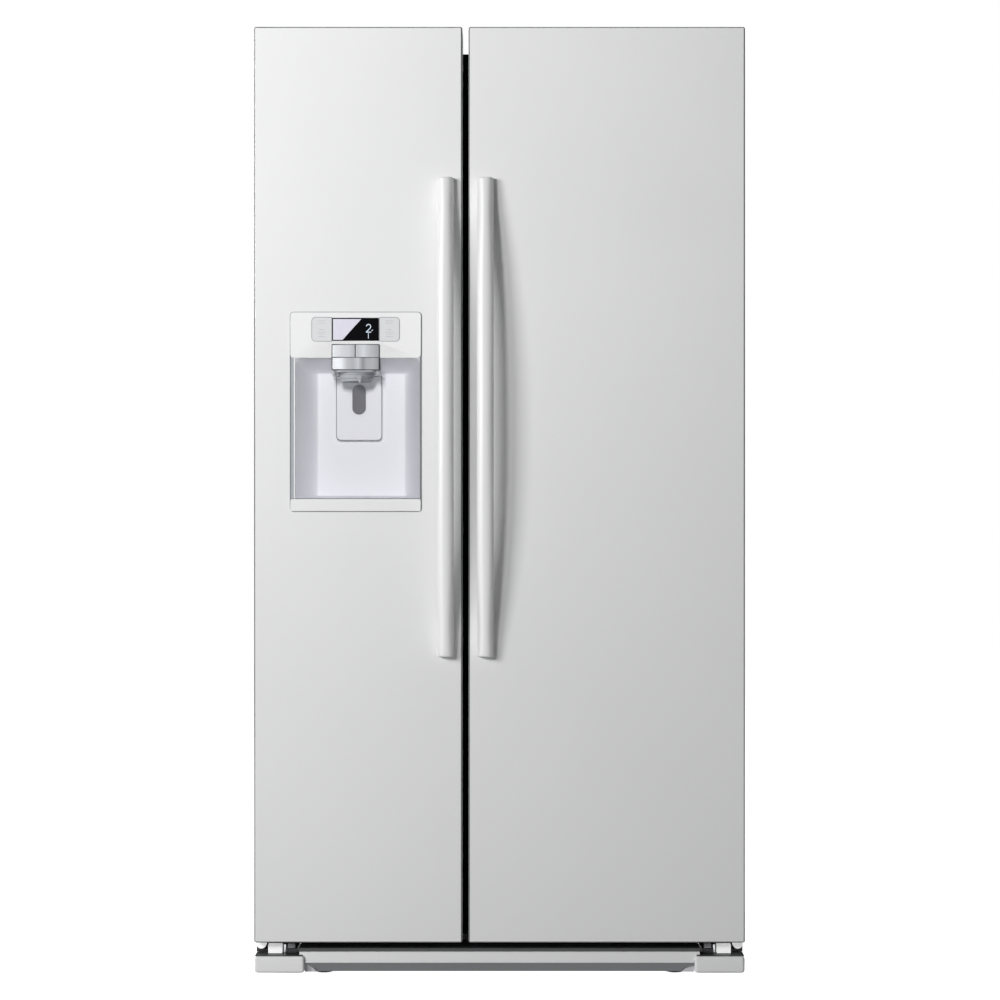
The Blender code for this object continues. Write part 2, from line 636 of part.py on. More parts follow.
def gasket(name, sides, holder):
    front, back = LINER_BACK + GAP, CABINET_FRONT - GAP
    seal = box(name, (sides[0], front, GASKET_Z[0]), (sides[1], back, GASKET_Z[1]), GASKET_RUBBER)
    width = GASKET_WIDTH
    cut_box(seal, (sides[0] + width, -0.31, GASKET_Z[0] + width),
            (sides[1] - width, -0.27, GASKET_Z[1] - width))
    hang(seal, holder)


def handle(name, x, holder):
    """A bowed bar whose two ends lie on the door."""
    bottom, top = HANDLE_Z
    middle = (bottom + top) / 2
    half = (top - bottom) / 2
    steps, face = 20, DOOR_FRONT - GAP
    stand_off, end_depth = 0.057, 0.022

    def bow(height, end_y, middle_y):
        share = (height - middle) / half
        return end_y + (middle_y - end_y) * (1.0 - share * share)

    heights = [bottom + (top - bottom) * step / steps for step in range(steps + 1)]
    front = [(bow(z, DOOR_FRONT - end_depth, DOOR_FRONT - stand_off), z) for z in heights]
    rear = []
    foot = 0.055
    for step in range(steps + 1):
        z = bottom + foot + (top - bottom - 2 * foot) * step / steps
        share = abs(z - middle) / (half - foot)
        rear.append((face - (stand_off - HANDLE_BAR) * (1.0 - share ** 3), z))
    outline = front + [(face, top)] + list(reversed(rear)) + [(face, bottom)]
    outline = [point for index, point in enumerate(outline) if point != outline[index - 1]]
    solid = prism_mesh(name, outline, "X", x - HANDLE_WIDTH / 2, x + HANDLE_WIDTH / 2)
    bar = part(name, solid, HANDLE_WHITE, 0.005, 2)
    hang(bar, holder)


def door_bin(name, sides, low, high, holder, depth=0.100):
    """A bin hung between the two sides of the door's rim."""
    front, back = LINER_BACK + GAP, LINER_BACK + depth
    tray = box(name, (sides[0] + 2 * GAP, front, low), (sides[1] - 2 * GAP, back, high), CLEAR_PLASTIC)
    wall = 0.003
    cut_box(tray, (sides[0] + wall, front + wall, low + wall), (sides[1] - wall, back - wall, high + 0.01))
    hang(tray, holder)


def freezer_door():
    holder = pivot("freezer_door_axis", (-PIN_X, PIN_Y, DOOR_BOTTOM))
    skin, foam = door_shell("freezer", FREEZER_DOOR_X, -1, holder)
    join_box(foam, (BULGE_X[0], DOOR_BACK - 0.004, BULGE_Z[0]), (BULGE_X[1], BULGE_BACK, BULGE_Z[1]))
    hole = 0.0012
    for thing in (skin, foam):
        cut_box(thing, (DISPENSER_X[0] + hole, -0.45, DISPENSER_Z[0] + hole),
                (DISPENSER_X[1] - hole, HOUSING_BACK + GAP, DISPENSER_Z[1] - hole))
    liner = door_liner("freezer_door_liner", FREEZER_DOOR_X, FREEZER_DIKES, -1, holder)
    wall = 0.0023
    join_box(liner, (BULGE_X[0] - wall, LINER_BACK - 0.001, BULGE_Z[0] - wall),
             (BULGE_X[1] + wall, BULGE_BACK + wall, BULGE_Z[1] + wall))
    cut_box(liner, (BULGE_X[0] - GAP, -0.32, BULGE_Z[0] - GAP),
            (BULGE_X[1] + GAP, BULGE_BACK + GAP, BULGE_Z[1] + GAP))
    gasket("freezer_gasket", FREEZER_GASKET, holder)
    handle("freezer_handle", FREEZER_HANDLE_X, holder)
    between = (FREEZER_DIKES[0] + DIKE_WIDTH, FREEZER_DIKES[1] - DIKE_WIDTH)
    door_bin("freezer_bin", between, 0.640, 0.750, holder)
    dispenser(holder)


def fridge_door():
    holder = pivot("fridge_door_axis", (PIN_X, PIN_Y, DOOR_BOTTOM))
    door_shell("fridge", FRIDGE_DOOR_X, 1, holder)
    door_liner("fridge_door_liner", FRIDGE_DOOR_X, FRIDGE_DIKES, 1, holder)
    gasket("fridge_gasket", FRIDGE_GASKET, holder)
    handle("fridge_handle", FRIDGE_HANDLE_X, holder)
    between = (FRIDGE_DIKES[0] + DIKE_WIDTH, FRIDGE_DIKES[1] - DIKE_WIDTH)
    door_bin("fridge_bin", between, 0.880, 1.010, holder)
    door_bin("dairy_tray", between, 1.480, 1.560, holder, 0.095)
    dairy_cover(between, holder)


def dairy_cover(between, holder):
    """A clear flap over the dairy shelf, hinged along its top edge."""
    axis_y, axis_z = LINER_BACK + 0.100, 1.640
    hinge = pivot("dairy_cover_axis", (0.0, axis_y, axis_z), holder)
    left, right = between[0] + 0.003, between[1] - 0.003
    flap = box("dairy_cover", (left, axis_y - 0.0015, 1.500), (right, axis_y + 0.0015, axis_z), CLEAR_PLASTIC)
    join(flap, rod_mesh("dairy_cover_roll", (left - 0.001, axis_y, axis_z), (right + 0.001, axis_y, axis_z),
                        0.0040, None, 16))
    hang(flap, hinge)


# --- dispenser in the freezer door ----------------------------------------------------------------

def recess_mesh():
    """The glass space: a box that narrows towards its back, with a ceiling that falls."""
    low = (DISPENSER_X[0] + 0.0045, -0.45, RECESS_Z[0])
    high = (DISPENSER_X[1] - 0.0035, RECESS_BACK, RECESS_Z[1])
    mesh = box_mesh("recess", low, high)
    front, back_x, back_top = DOOR_FRONT, (-0.3525, -0.1805), 1.146
    for vert in mesh.vertices:
        deep = vert.co.y > -0.30
        if deep:
            vert.co.x = back_x[0] if vert.co.x < -0.26 else back_x[1]
            vert.co.z = min(vert.co.z, back_top)
        else:
            vert.co.y = front - 0.010
    return mesh


def bowed_front(left, right, back, front_end, front_middle, low, high, name, steps=8):
    """A block whose front bulges towards the user across the shared width of the controls."""
    centre = (CONTROL_X[0] + CONTROL_X[1]) / 2
    half = (CONTROL_X[1] - CONTROL_X[0]) / 2
    outline = [(right, back), (left, back)]
    for step in range(steps + 1):
        x = left + (right - left) * step / steps
        share = (x - centre) / half
        outline.append((x, front_end + (front_middle - front_end) * (1.0 - share * share)))
    return prism_mesh(name, outline, "Z", low, high)


def dispenser(holder):
    inner = 0.0015
    housing = box("dispenser_housing", (DISPENSER_X[0] + inner, DOOR_FRONT, DISPENSER_Z[0] + inner),
                  (DISPENSER_X[1] - inner, HOUSING_BACK, DISPENSER_Z[1] - inner), GREY_WHITE)
    join_box(housing, (DISPENSER_X[0], DISPENSER_FACE, RECESS_Z[0]),
             (DISPENSER_X[1], DOOR_FRONT - GAP, RECESS_Z[1]))
    join_box(housing, (DISPENSER_X[0] + inner, DISPENSER_FACE + 0.001, RECESS_Z[0]),
             (DISPENSER_X[1] - inner, DOOR_FRONT + 0.001, RECESS_Z[1]))
    cut(housing, recess_mesh())
    bay = (-0.3125, -0.2200)
    cut_box(housing, (bay[0], -0.45, 1.120), (bay[1], -0.318, 1.243))
    for left in (-0.3150, -0.2185):
        join_box(housing, (left, LEVER_AXIS_Y - 0.005, LEVER_AXIS_Z - 0.006),
                 (left + 0.003, -0.2755, LEVER_AXIS_Z + 0.006))
    cut(housing, rod_mesh("lever_bore", (-0.330, LEVER_AXIS_Y, LEVER_AXIS_Z),
                          (-0.200, LEVER_AXIS_Y, LEVER_AXIS_Z), 0.0026, None, 16))
    tray_x, tray_z = (-0.345, -0.188), (0.8930, 0.9045)
    cut_box(housing, (tray_x[0] - 0.001, -0.45, tray_z[0] - 0.001),
            (tray_x[1] + 0.001, -0.284, tray_z[1] + 0.01))
    hang(housing, holder)

    sill = rounded((DISPENSER_X[0], DISPENSER_Z[0]), (DISPENSER_X[1], tray_z[1] - 0.0002), 0.0035, 3)
    tray = part("drip_tray", prism_mesh("drip_tray", sill, "Y", DISPENSER_FACE, DOOR_FRONT - GAP), GLOSS_WHITE)
    join_box(tray, (tray_x[0], DISPENSER_FACE + 0.001, tray_z[0]), (tray_x[1], -0.2850, tray_z[1] - 0.0002))
    for slot in range(9):
        left = tray_x[0] + 0.008 + 0.0160 * slot
        cut_box(tray, (left, -0.378, tray_z[0] + 0.002), (left + 0.010, -0.292, tray_z[1] + 0.01))
    hang(tray, holder)

    plate = rounded((DISPENSER_X[0], RECESS_Z[1] + GAP), (DISPENSER_X[1], DISPENSER_Z[1]), 0.006)
    panel = part("control_panel", prism_mesh("control_panel", plate, "Y", DISPENSER_FACE, DOOR_FRONT - GAP),
                 GLOSS_WHITE)
    cut_box(panel, (CONTROL_X[0] - 0.0005, -0.45, 1.10), (CONTROL_X[1] + 0.0005, -0.38, 1.1898))
    cut_box(panel, (CONTROL_X[0] - GAP, -0.45, 1.1965), (CONTROL_X[1] + GAP, -0.3921, 1.2395))
    hang(panel, holder)

    bowed = bowed_front(CONTROL_X[0], CONTROL_X[1], -0.325, -0.3960, -0.4020, 1.1436, 1.1655, "dispenser_band")
    band = part("dispenser_band", bowed, SATIN_METAL)
    hang(band, holder)
    middle = (CONTROL_X[0] + CONTROL_X[1]) / 2
    for name, left, right in (("ice_button", CONTROL_X[0], middle - 0.0007),
                              ("water_button", middle + 0.0007, CONTROL_X[1])):
        slide = pivot(name + "_slide", ((left + right) / 2, -0.398, 1.178), holder)
        front = bowed_front(left, right, -0.3860, -0.3960, -0.4020, 1.1662, 1.1892, name, 5)
        key = part(name, front, SATIN_METAL)
        hang(key, slide)
    spout(holder, middle)
    lever(holder, middle)


def spout(holder, x):
    """The ice chute's mouth: a short funnel that hangs under the band."""
    top, bottom, y = 1.1433, 1.1222, -0.3620
    funnel = part("dispenser_spout", rod_mesh("dispenser_spout", (x, y, top), (x, y, bottom), 0.034, 0.029),
                  CLEAR_PLASTIC)
    cut(funnel, rod_mesh("spout_bore", (x, y, top + 0.002), (x, y, bottom - 0.002), 0.030, 0.024))
    hang(funnel, holder)


def lever(holder, x):
    """A paddle that hangs from its top edge in front of the recess's back wall."""
    hinge = pivot("dispenser_lever_axis", (x, LEVER_AXIS_Y, LEVER_AXIS_Z), holder)
    half = 0.0436
    outline = rounded((x - half, 1.0149), (x + half, 1.1370), 0.009)
    flat = prism_mesh("dispenser_lever", outline, "Y", -0.2905, -0.2870)
    paddle = part("dispenser_lever", flat, GREY_WHITE)
    join(paddle, rod_mesh("lever_axle", (x - 0.0478, LEVER_AXIS_Y, LEVER_AXIS_Z),
                          (x + 0.0478, LEVER_AXIS_Y, LEVER_AXIS_Z), 0.0020, None, 12))
    hang(paddle, hinge)


# --- assembly -------------------------------------------------------------------------------------

cabinet_shell()
machine_cover()
base_frame()
leg_cover()
for side_name, side_sign in SIDES.items():
    top_hinge(side_name, side_sign)
    bottom_hinge(side_name, side_sign)
    levelling_foot("levelling_foot_" + side_name, side_sign * FOOT_X)
    for place, roller_y in zip(("front", "rear"), ROLLER_Y):
        roller("roller_" + place + "_" + side_name, side_sign * ROLLER_X, roller_y)
compressor()
condenser_and_fan()
inside()
freezer_door()
fridge_door()
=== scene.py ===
"""Side by side refrigerator: studio view from the front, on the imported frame.

Metres, +Z up, doors facing -Y. Every piece rides on a body of the frame, so that it moves with the joints.
"""
import math
import random

import bmesh
import bpy
from mathutils import Matrix, Vector
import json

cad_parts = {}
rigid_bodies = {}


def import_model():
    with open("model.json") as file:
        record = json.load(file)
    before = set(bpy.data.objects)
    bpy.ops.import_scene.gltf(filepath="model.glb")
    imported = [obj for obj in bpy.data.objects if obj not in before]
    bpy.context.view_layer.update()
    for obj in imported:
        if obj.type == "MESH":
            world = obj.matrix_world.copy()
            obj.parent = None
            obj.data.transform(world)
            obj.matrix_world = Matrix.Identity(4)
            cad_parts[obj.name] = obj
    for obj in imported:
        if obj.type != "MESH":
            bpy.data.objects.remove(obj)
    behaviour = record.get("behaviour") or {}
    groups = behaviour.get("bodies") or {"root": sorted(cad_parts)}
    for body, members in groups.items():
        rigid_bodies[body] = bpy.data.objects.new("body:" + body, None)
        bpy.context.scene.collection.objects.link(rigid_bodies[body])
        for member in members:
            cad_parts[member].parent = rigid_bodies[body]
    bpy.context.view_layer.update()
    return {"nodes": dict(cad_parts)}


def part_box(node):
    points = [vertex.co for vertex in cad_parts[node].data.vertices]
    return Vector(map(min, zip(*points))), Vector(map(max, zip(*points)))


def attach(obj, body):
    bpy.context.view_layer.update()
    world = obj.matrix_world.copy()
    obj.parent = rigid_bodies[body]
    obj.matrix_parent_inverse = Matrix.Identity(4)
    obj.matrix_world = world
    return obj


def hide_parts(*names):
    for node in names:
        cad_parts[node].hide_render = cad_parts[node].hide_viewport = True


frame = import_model()
random.seed(7)

DOOR_FACE = -0.3905
DIKES = {"freezer": (-0.394, -0.107), "fridge": (-0.018, 0.394)}
CENTRE = -0.26625                  # middle of the dispenser's controls


# --- camera, light and floor ------------------------------------------------------------------------

DISTANCE = 4.15
HALF_VIEW = 0.92585                # half the width in view at the doors
camera_data = bpy.data.cameras.new("camera")
camera_data.angle = 2 * math.atan(HALF_VIEW / DISTANCE)
camera = bpy.data.objects.new("camera", camera_data)
camera.location = (0.0009, DOOR_FACE - DISTANCE, 0.9022)
camera.rotation_euler = (math.radians(90), 0, 0)
scene = bpy.context.scene
scene.collection.objects.link(camera)
scene.camera = camera
scene.view_settings.view_transform = "Standard"


def softbox(name, place, target, size, power, receivers=None, glossy=True):
    data = bpy.data.lights.new(name, "AREA")
    data.size = size
    data.energy = power
    light = bpy.data.objects.new(name, data)
    light.location = place
    aim = Vector(target) - Vector(place)
    light.rotation_euler = aim.to_track_quat("-Z", "Y").to_euler()
    scene.collection.objects.link(light)
    light.visible_glossy = glossy
    if receivers:
        light.light_linking.receiver_collection = receivers


NICHE = bpy.data.collections.new("niche")            # lit by its own light
REST = bpy.data.collections.new("rest")              # the niche again, left out of the other lights
softbox("key", (-2.60, -2.90, 1.80), (1.10, -0.39, 0.76), 1.1, 80, REST)
softbox("front", (-1.80, -3.80, 1.83), (-0.85, -0.39, 4.91), 0.6, 95, REST, False)
softbox("niche", (-0.27, -3.60, 1.60), (-0.27, -0.39, 1.05), 0.35, 50, NICHE)
softbox("top", (0.2, 0.9, 3.6), (0.0, 0.3, 1.0), 1.6, 24)
softbox("back_left", (-2.2, 2.6, 2.4), (0.0, 0.4, 0.9), 1.8, 70)


def niche_piece(thing):
    """Lights the piece with the niche's light instead of the key and front lights."""
    NICHE.objects.link(thing)
    REST.objects.link(thing)
    REST.collection_objects[len(REST.objects) - 1].light_linking.link_state = "EXCLUDE"


def add_node(tree, kind, inputs=(), **properties):
    """A shader node. Each of its inputs gets a value or the output of another node."""
    made = tree.nodes.new("ShaderNode" + kind)
    for name, value in properties.items():
        setattr(made, name, value)
    set_inputs(tree, made, dict(inputs))
    return made


def set_inputs(tree, node, inputs):
    for name, value in inputs.items():
        if isinstance(value, bpy.types.NodeSocket):
            tree.links.new(value, node.inputs[name])
        else:
            node.inputs[name].default_value = value


def white_world():
    """White behind the object for the camera, and a dimmer even sky as light."""
    world = bpy.data.worlds.new("studio")
    scene.world = world
    world.use_nodes = True
    tree = world.node_tree
    tree.nodes.clear()
    path = add_node(tree, "LightPath")
    sky = add_node(tree, "Background", {"Color": (0.97, 0.98, 1.0, 1.0), "Strength": 0.15})
    seen = add_node(tree, "Background", {"Color": (1.0, 1.0, 1.0, 1.0)})
    by_ray = path.outputs["Is Camera Ray"]
    mix = add_node(tree, "MixShader", {0: by_ray, 1: sky.outputs[0], 2: seen.outputs[0]})
    add_node(tree, "OutputWorld", {"Surface": mix.outputs[0]})


white_world()


# --- materials --------------------------------------------------------------------------------------

MATERIALS = {}


def mixed(tree, factor, first, second, blend_type="MIX"):
    mix = add_node(tree, "Mix", {"Factor": factor, "A": first, "B": second}, data_type="RGBA",
                   blend_type=blend_type)
    return mix.outputs["Result"]


def with_edge_shade(tree, colour, normal, rim):
    """Painted shade: a darker colour on a square part's rounded edges, where the surface faces along none of
    the axes.
    """
    absolute = add_node(tree, "VectorMath", {0: normal}, operation="ABSOLUTE")
    parts = add_node(tree, "SeparateXYZ", {0: absolute.outputs[0]})
    pair = add_node(tree, "Math", {0: parts.outputs["X"], 1: parts.outputs["Y"]}, operation="MAXIMUM")
    largest = add_node(tree, "Math", {0: pair.outputs[0], 1: parts.outputs["Z"]}, operation="MAXIMUM")
    edge_shade_mask = add_node(tree, "MapRange", {"Value": largest.outputs[0], "From Min": 0.995, "From Max": 0.90})
    return mixed(tree, edge_shade_mask.outputs[0], colour, (*rim, 1.0))


def with_wear(tree, colour, grain, wear):
    """Another colour in patches along the sharp edges."""
    shape = add_node(tree, "NewGeometry")
    pointed = shape.outputs["Pointiness"]
    edge = add_node(tree, "MapRange", {"Value": pointed, "From Min": 0.53, "From Max": 0.62})
    amount = add_node(tree, "Math", {0: edge.outputs[0], 1: grain}, operation="MULTIPLY")
    return mixed(tree, amount.outputs[0], colour, (*wear, 1.0))


def finish(name, colour, rough, metal=0.0, grain=120.0, vary=0.02, bump=0.04, stretch=(1, 1, 1), coat=0.0,
           through=0.0, alpha=1.0, wear=None, rough_vary=0.15, glow=0.0, shine=0.5, rim=None):
    """A surface with fine grain, cloudy colour and uneven gloss.

    wear colours its sharp edges, and rim paints shade on the rounded edges of a square part.
    """
    material = bpy.data.materials.new(name)
    material.use_nodes = True
    tree = material.node_tree
    place = add_node(tree, "TexCoord")
    mapping = add_node(tree, "Mapping", {"Vector": place.outputs["Object"], "Scale": stretch})
    fine = add_node(tree, "TexNoise", {"Vector": mapping.outputs[0], "Scale": grain, "Detail": 4.0})
    cloud = add_node(tree, "TexNoise", {"Vector": mapping.outputs[0], "Scale": 4.0, "Detail": 3.0})
    half = add_node(tree, "Math", {0: cloud.outputs["Fac"], 1: 0.5}, operation="MULTIPLY")
    blend = add_node(tree, "Math", {0: fine.outputs["Fac"], 1: 0.5, 2: half.outputs[0]},
                     operation="MULTIPLY_ADD")
    ramp = add_node(tree, "ValToRGB", {"Fac": blend.outputs[0]})
    for element, position, change in zip(ramp.color_ramp.elements, (0.35, 0.65), (1 - vary, 1 + vary)):
        element.position = position
        element.color = (*[min(c * change, 1.0) for c in colour], 1.0)
    base = ramp.outputs["Color"]
    # painted shade: the rim colour darkens the rounded edges
    if rim:
        base = with_edge_shade(tree, base, place.outputs["Normal"], rim)
    if wear:
        base = with_wear(tree, base, fine.outputs["Fac"], wear)
    gloss = add_node(tree, "MapRange", {
        "Value": cloud.outputs["Fac"], "To Min": max(rough * (1 - rough_vary), 0.0),
        "To Max": min(rough * (1 + rough_vary), 1.0),
    })
    relief = add_node(tree, "Bump", {"Height": fine.outputs["Fac"], "Strength": bump, "Distance": 0.001})
    set_inputs(tree, tree.nodes["Principled BSDF"], {
        "Base Color": base, "Roughness": gloss.outputs[0], "Normal": relief.outputs[0], "Metallic": metal,
        "Coat Weight": coat, "Coat Roughness": 0.08, "Transmission Weight": through, "Alpha": alpha,
        "Specular IOR Level": shine, "Emission Color": (*colour, 1.0), "Emission Strength": glow,
    })
    MATERIALS[name] = material
    return material


# the enamel's rim colour is painted shade: a dark outline on the rounded edges of the doors and the cabinet
finish("enamel", (0.80, 0.80, 0.80), 0.34, grain=420, vary=0.012, bump=0.03, coat=0.25,
       rim=(0.10, 0.10, 0.11))
finish("lining", (0.80, 0.81, 0.82), 0.38, grain=160, vary=0.015, bump=0.03)
finish("foam", (0.80, 0.78, 0.72), 0.9, grain=240, vary=0.10, bump=0.5)
# Painted light: a glowing white, so that the hinge cam and door stops look lit where the doors shade them.
finish("glowing_white", (0.86, 0.86, 0.86), 0.35, grain=500, vary=0.012, bump=0.03, glow=0.45)
finish("white_plastic", (0.85, 0.85, 0.85), 0.30, grain=500, vary=0.012, bump=0.04, wear=(0.68, 0.68, 0.68))
# Painted light: a faint glow that brightens the recess, the lever and the paddle face beyond what the niche
# light gives.
finish("glowing_grey_white", (0.86, 0.86, 0.90), 0.45, grain=500, vary=0.012, bump=0.02, glow=0.05)
# Painted shade: the dark band just inside the left edge of the dispenser recess.
finish("rim_shade_grey", (0.38, 0.40, 0.43), 0.45, grain=500, vary=0.03, bump=0.03)
finish("handle_satin", (0.77, 0.77, 0.77), 0.50, metal=0.15, grain=500, vary=0.010, bump=0.008, coat=0.15)
finish("brushed", (0.62, 0.63, 0.66), 0.30, metal=1.0, grain=900, vary=0.05, bump=0.10, stretch=(0.04, 1, 1))
finish("zinc", (0.60, 0.61, 0.62), 0.42, metal=0.9, grain=90, vary=0.10, bump=0.06, rough_vary=0.35,
       wear=(0.45, 0.44, 0.42))
finish("black_steel", (0.025, 0.025, 0.028), 0.45, metal=0.3, grain=220, vary=0.12, bump=0.08,
       wear=(0.10, 0.10, 0.10))
finish("dark_grey", (0.030, 0.031, 0.034), 0.50, grain=300, vary=0.08, bump=0.05, wear=(0.12, 0.12, 0.12))
# Painted shade: near black for the dark gap between the doors.
finish("gap_shade_black", (0.004, 0.004, 0.004), 0.80, grain=300, vary=0.05, bump=0.05, shine=0.1)
finish("pad_grey", (0.15, 0.15, 0.16), 0.60, grain=300, vary=0.06, bump=0.05)
finish("mid_grey", (0.24, 0.25, 0.26), 0.45, grain=300, vary=0.06, bump=0.05)
finish("line_grey", (0.20, 0.20, 0.21), 0.50, grain=300, vary=0.05, bump=0.03)
finish("pale_grey", (0.62, 0.62, 0.64), 0.40, grain=400, vary=0.02, bump=0.03)
finish("pale_plate", (0.70, 0.71, 0.72), 0.36, grain=500, vary=0.01, bump=0.02)
finish("mark_grey", (0.40, 0.41, 0.42), 0.45, grain=500, vary=0.03, bump=0.02)
finish("grey_plastic", (0.50, 0.51, 0.53), 0.48, grain=260, vary=0.04, bump=0.08)
finish("aluminium", (0.74, 0.75, 0.76), 0.32, metal=1.0, grain=300, vary=0.06, bump=0.06)
finish("copper", (0.72, 0.36, 0.22), 0.30, metal=1.0, grain=120, vary=0.15, bump=0.05, rough_vary=0.4)
finish("rubber", (0.80, 0.80, 0.79), 0.62, grain=300, vary=0.03, bump=0.10)
finish("dark_rubber", (0.035, 0.035, 0.037), 0.72, grain=260, vary=0.15, bump=0.15, wear=(0.09, 0.09, 0.09))
finish("shelf_glass", (0.80, 0.90, 0.88), 0.05, grain=60, vary=0.02, bump=0.01, through=0.85, alpha=0.55)
finish("clear", (0.86, 0.90, 0.93), 0.10, grain=80, vary=0.02, bump=0.02, through=0.80, alpha=0.55)
finish("frosted", (0.62, 0.64, 0.67), 0.35, grain=300, vary=0.04, bump=0.05, through=0.45, alpha=0.92)
finish("black_glass", (0.003, 0.003, 0.004), 0.12, grain=60, vary=0.05, bump=0.003, shine=0.05)
# Painted reflection: a faint pale glow for a sheen on the display glass.
finish("reflection_glow_pale", (0.66, 0.65, 0.73), 0.15, grain=60, vary=0.05, bump=0.005, glow=0.12)
finish("glow_digit", (0.55, 0.62, 0.72), 0.20, grain=60, vary=0.02, bump=0.01, glow=0.5)
finish("lamp", (0.95, 0.95, 0.92), 0.35, grain=90, vary=0.02, bump=0.03, glow=0.3)
finish("reflector", (0.9, 0.9, 0.9), 0.8, grain=20, vary=0.01, bump=0.01, glow=0.55)
finish("studio_floor", (0.90, 0.90, 0.90), 0.75, grain=20, vary=0.01, bump=0.02, glow=0.98)


# --- meshes -----------------------------------------------------------------------------------------

def piece(name, mesh, body, material, bevel=0.0, segments=2, angle=35, covers=()):
    """An object on a body, with soft edges."""
    mesh.name = name
    thing = bpy.data.objects.new(name, mesh)
    scene.collection.objects.link(thing)
    mesh.materials.append(MATERIALS[material])
    mesh.shade_smooth()
    if bevel:
        edges = thing.modifiers.new("edges", "BEVEL")
        edges.width = bevel
        edges.segments = segments
        edges.limit_method = "ANGLE"
        edges.angle_limit = math.radians(angle)
        thing.modifiers.new("shading", "WEIGHTED_NORMAL").keep_sharp = True
    else:
        mesh.set_sharp_from_angle(angle=math.radians(angle))
    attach(thing, body)
    if covers:
        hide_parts(*covers)
    return thing


def to_mesh(bm):
    bmesh.ops.remove_doubles(bm, verts=bm.verts, dist=1e-6)
    bmesh.ops.recalc_face_normals(bm, faces=bm.faces)
    mesh = bpy.data.meshes.new("mesh")
    bm.to_mesh(mesh)
    bm.free()
    return mesh


def add_block(bm, low, high):
    low, high = Vector(low), Vector(high)
    place = Matrix.Translation((low + high) / 2) @ Matrix.Diagonal((*(high - low), 1.0))
    bmesh.ops.create_cube(bm, size=1.0, matrix=place)


def block(low, high):
    bm = bmesh.new()
    add_block(bm, low, high)
    return to_mesh(bm)


def add_rod(bm, start, end, radius, end_radius=None, segments=24):
    start, end = Vector(start), Vector(end)
    turn = (end - start).to_track_quat("Z", "Y").to_matrix().to_4x4()
    bmesh.ops.create_cone(bm, cap_ends=True, segments=segments, radius1=radius,
                          radius2=radius if end_radius is None else end_radius, depth=(end - start).length,
                          matrix=Matrix.Translation((start + end) / 2) @ turn)


def rod(start, end, radius, end_radius=None, segments=32):
    bm = bmesh.new()
    add_rod(bm, start, end, radius, end_radius, segments)
    return to_mesh(bm)


def place_point(axis, u, v, w):
    """A point from two outline coordinates and one along the axis."""
    return {"X": (w, u, v), "Y": (u, w, v), "Z": (u, v, w)}[axis]


def add_prism(bm, outline, axis, start, end):
    rings = [[bm.verts.new(place_point(axis, u, v, w)) for u, v in outline] for w in (start, end)]
    count = len(outline)
    for i in range(count):
        j = (i + 1) % count
        bm.faces.new((rings[0][i], rings[0][j], rings[1][j], rings[1][i]))
    bm.faces.new(rings[0])
    bm.faces.new(rings[1])


def prism(outline, axis, start, end):
    bm = bmesh.new()
    add_prism(bm, outline, axis, start, end)
    return to_mesh(bm)


def arc(centre, radius, start, end, steps):
    angles = [math.radians(start + (end - start) * step / steps) for step in range(steps + 1)]
    return [(centre[0] + radius * math.cos(a), centre[1] + radius * math.sin(a)) for a in angles]


def circle(centre, radius, count):
    """Points round a circle, in a plane."""
    return arc(centre, radius, 0, 360, count)[:-1]


def rounded(low, high, radii, steps=6):
    """A rectangle's outline with round corners: radii for top right, top left, bottom left, bottom right."""
    if not hasattr(radii, "__len__"):
        radii = (radii,) * 4
    (left, bottom), (right, top) = low, high
    corners = ((right, top, -1, -1, 0), (left, top, 1, -1, 90), (left, bottom, 1, 1, 180),
               (right, bottom, -1, 1, 270))
    outline = []
    for (x, y, dx, dy, start), radius in zip(corners, radii):
        outline += arc((x + dx * radius, y + dy * radius), radius, start, start + 90, steps)
    return outline


def add_loft(bm, rings, close=True):
    """Joins outlines of equal length, given as lists of points, and closes both ends."""
    rows = [[bm.verts.new(point) for point in ring] for ring in rings]
    count = len(rings[0])
    for first, second in zip(rows, rows[1:]):
        for i in range(count):
            j = (i + 1) % count
            bm.faces.new((first[i], first[j], second[j], second[i]))
    if close:
        bm.faces.new(rows[0])
        bm.faces.new(rows[-1])


def loft(rings, close=True):
    bm = bmesh.new()
    add_loft(bm, rings, close)
    return to_mesh(bm)


def level(outline, z):
    return [(x, y, z) for x, y in outline]


def upright(outline, y):
    return [(x, y, z) for x, z in outline]


def tub(low, high, radius, wall, flare=0.004, rim=0.003):
    """An open box with round corners, draft and a rolled rim."""
    (x0, y0, z0), (x1, y1, z1) = low, high

    def ring(inset, z):
        outline = rounded((x0 + inset, y0 + inset), (x1 - inset, y1 - inset), max(radius - inset, 0.001))
        return level(outline, z)

    rings = [
        ring(flare + 0.004, z0), ring(flare + 0.001, z0 + 0.0015), ring(flare, z0 + 0.005),
        ring(rim, z1 - 0.006), ring(0.0, z1 - 0.005), ring(0.0, z1 - 0.001), ring(0.0008, z1),
        ring(rim + wall - 0.0008, z1), ring(rim + wall, z1 - 0.001),
        ring(flare + wall, z0 + 0.006), ring(flare + wall + 0.003, z0 + wall),
    ]
    return loft(rings)


def strip(name, low, high, body, material, bevel=0.001):
    return piece(name, block(low, high), body, material, bevel)


def outline_ring(name, outer, inner, front, back, body, material, bevel=0.0):
    """A flat frame between two outlines of equal length, standing in the XZ plane."""
    rings = [upright(outer, back), upright(outer, front), upright(inner, front), upright(inner, back)]
    rings.append(rings[0])
    return piece(name, loft(rings, close=False), body, material, bevel)


def extent(node):
    low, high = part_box(node)
    return tuple(low), tuple(high)


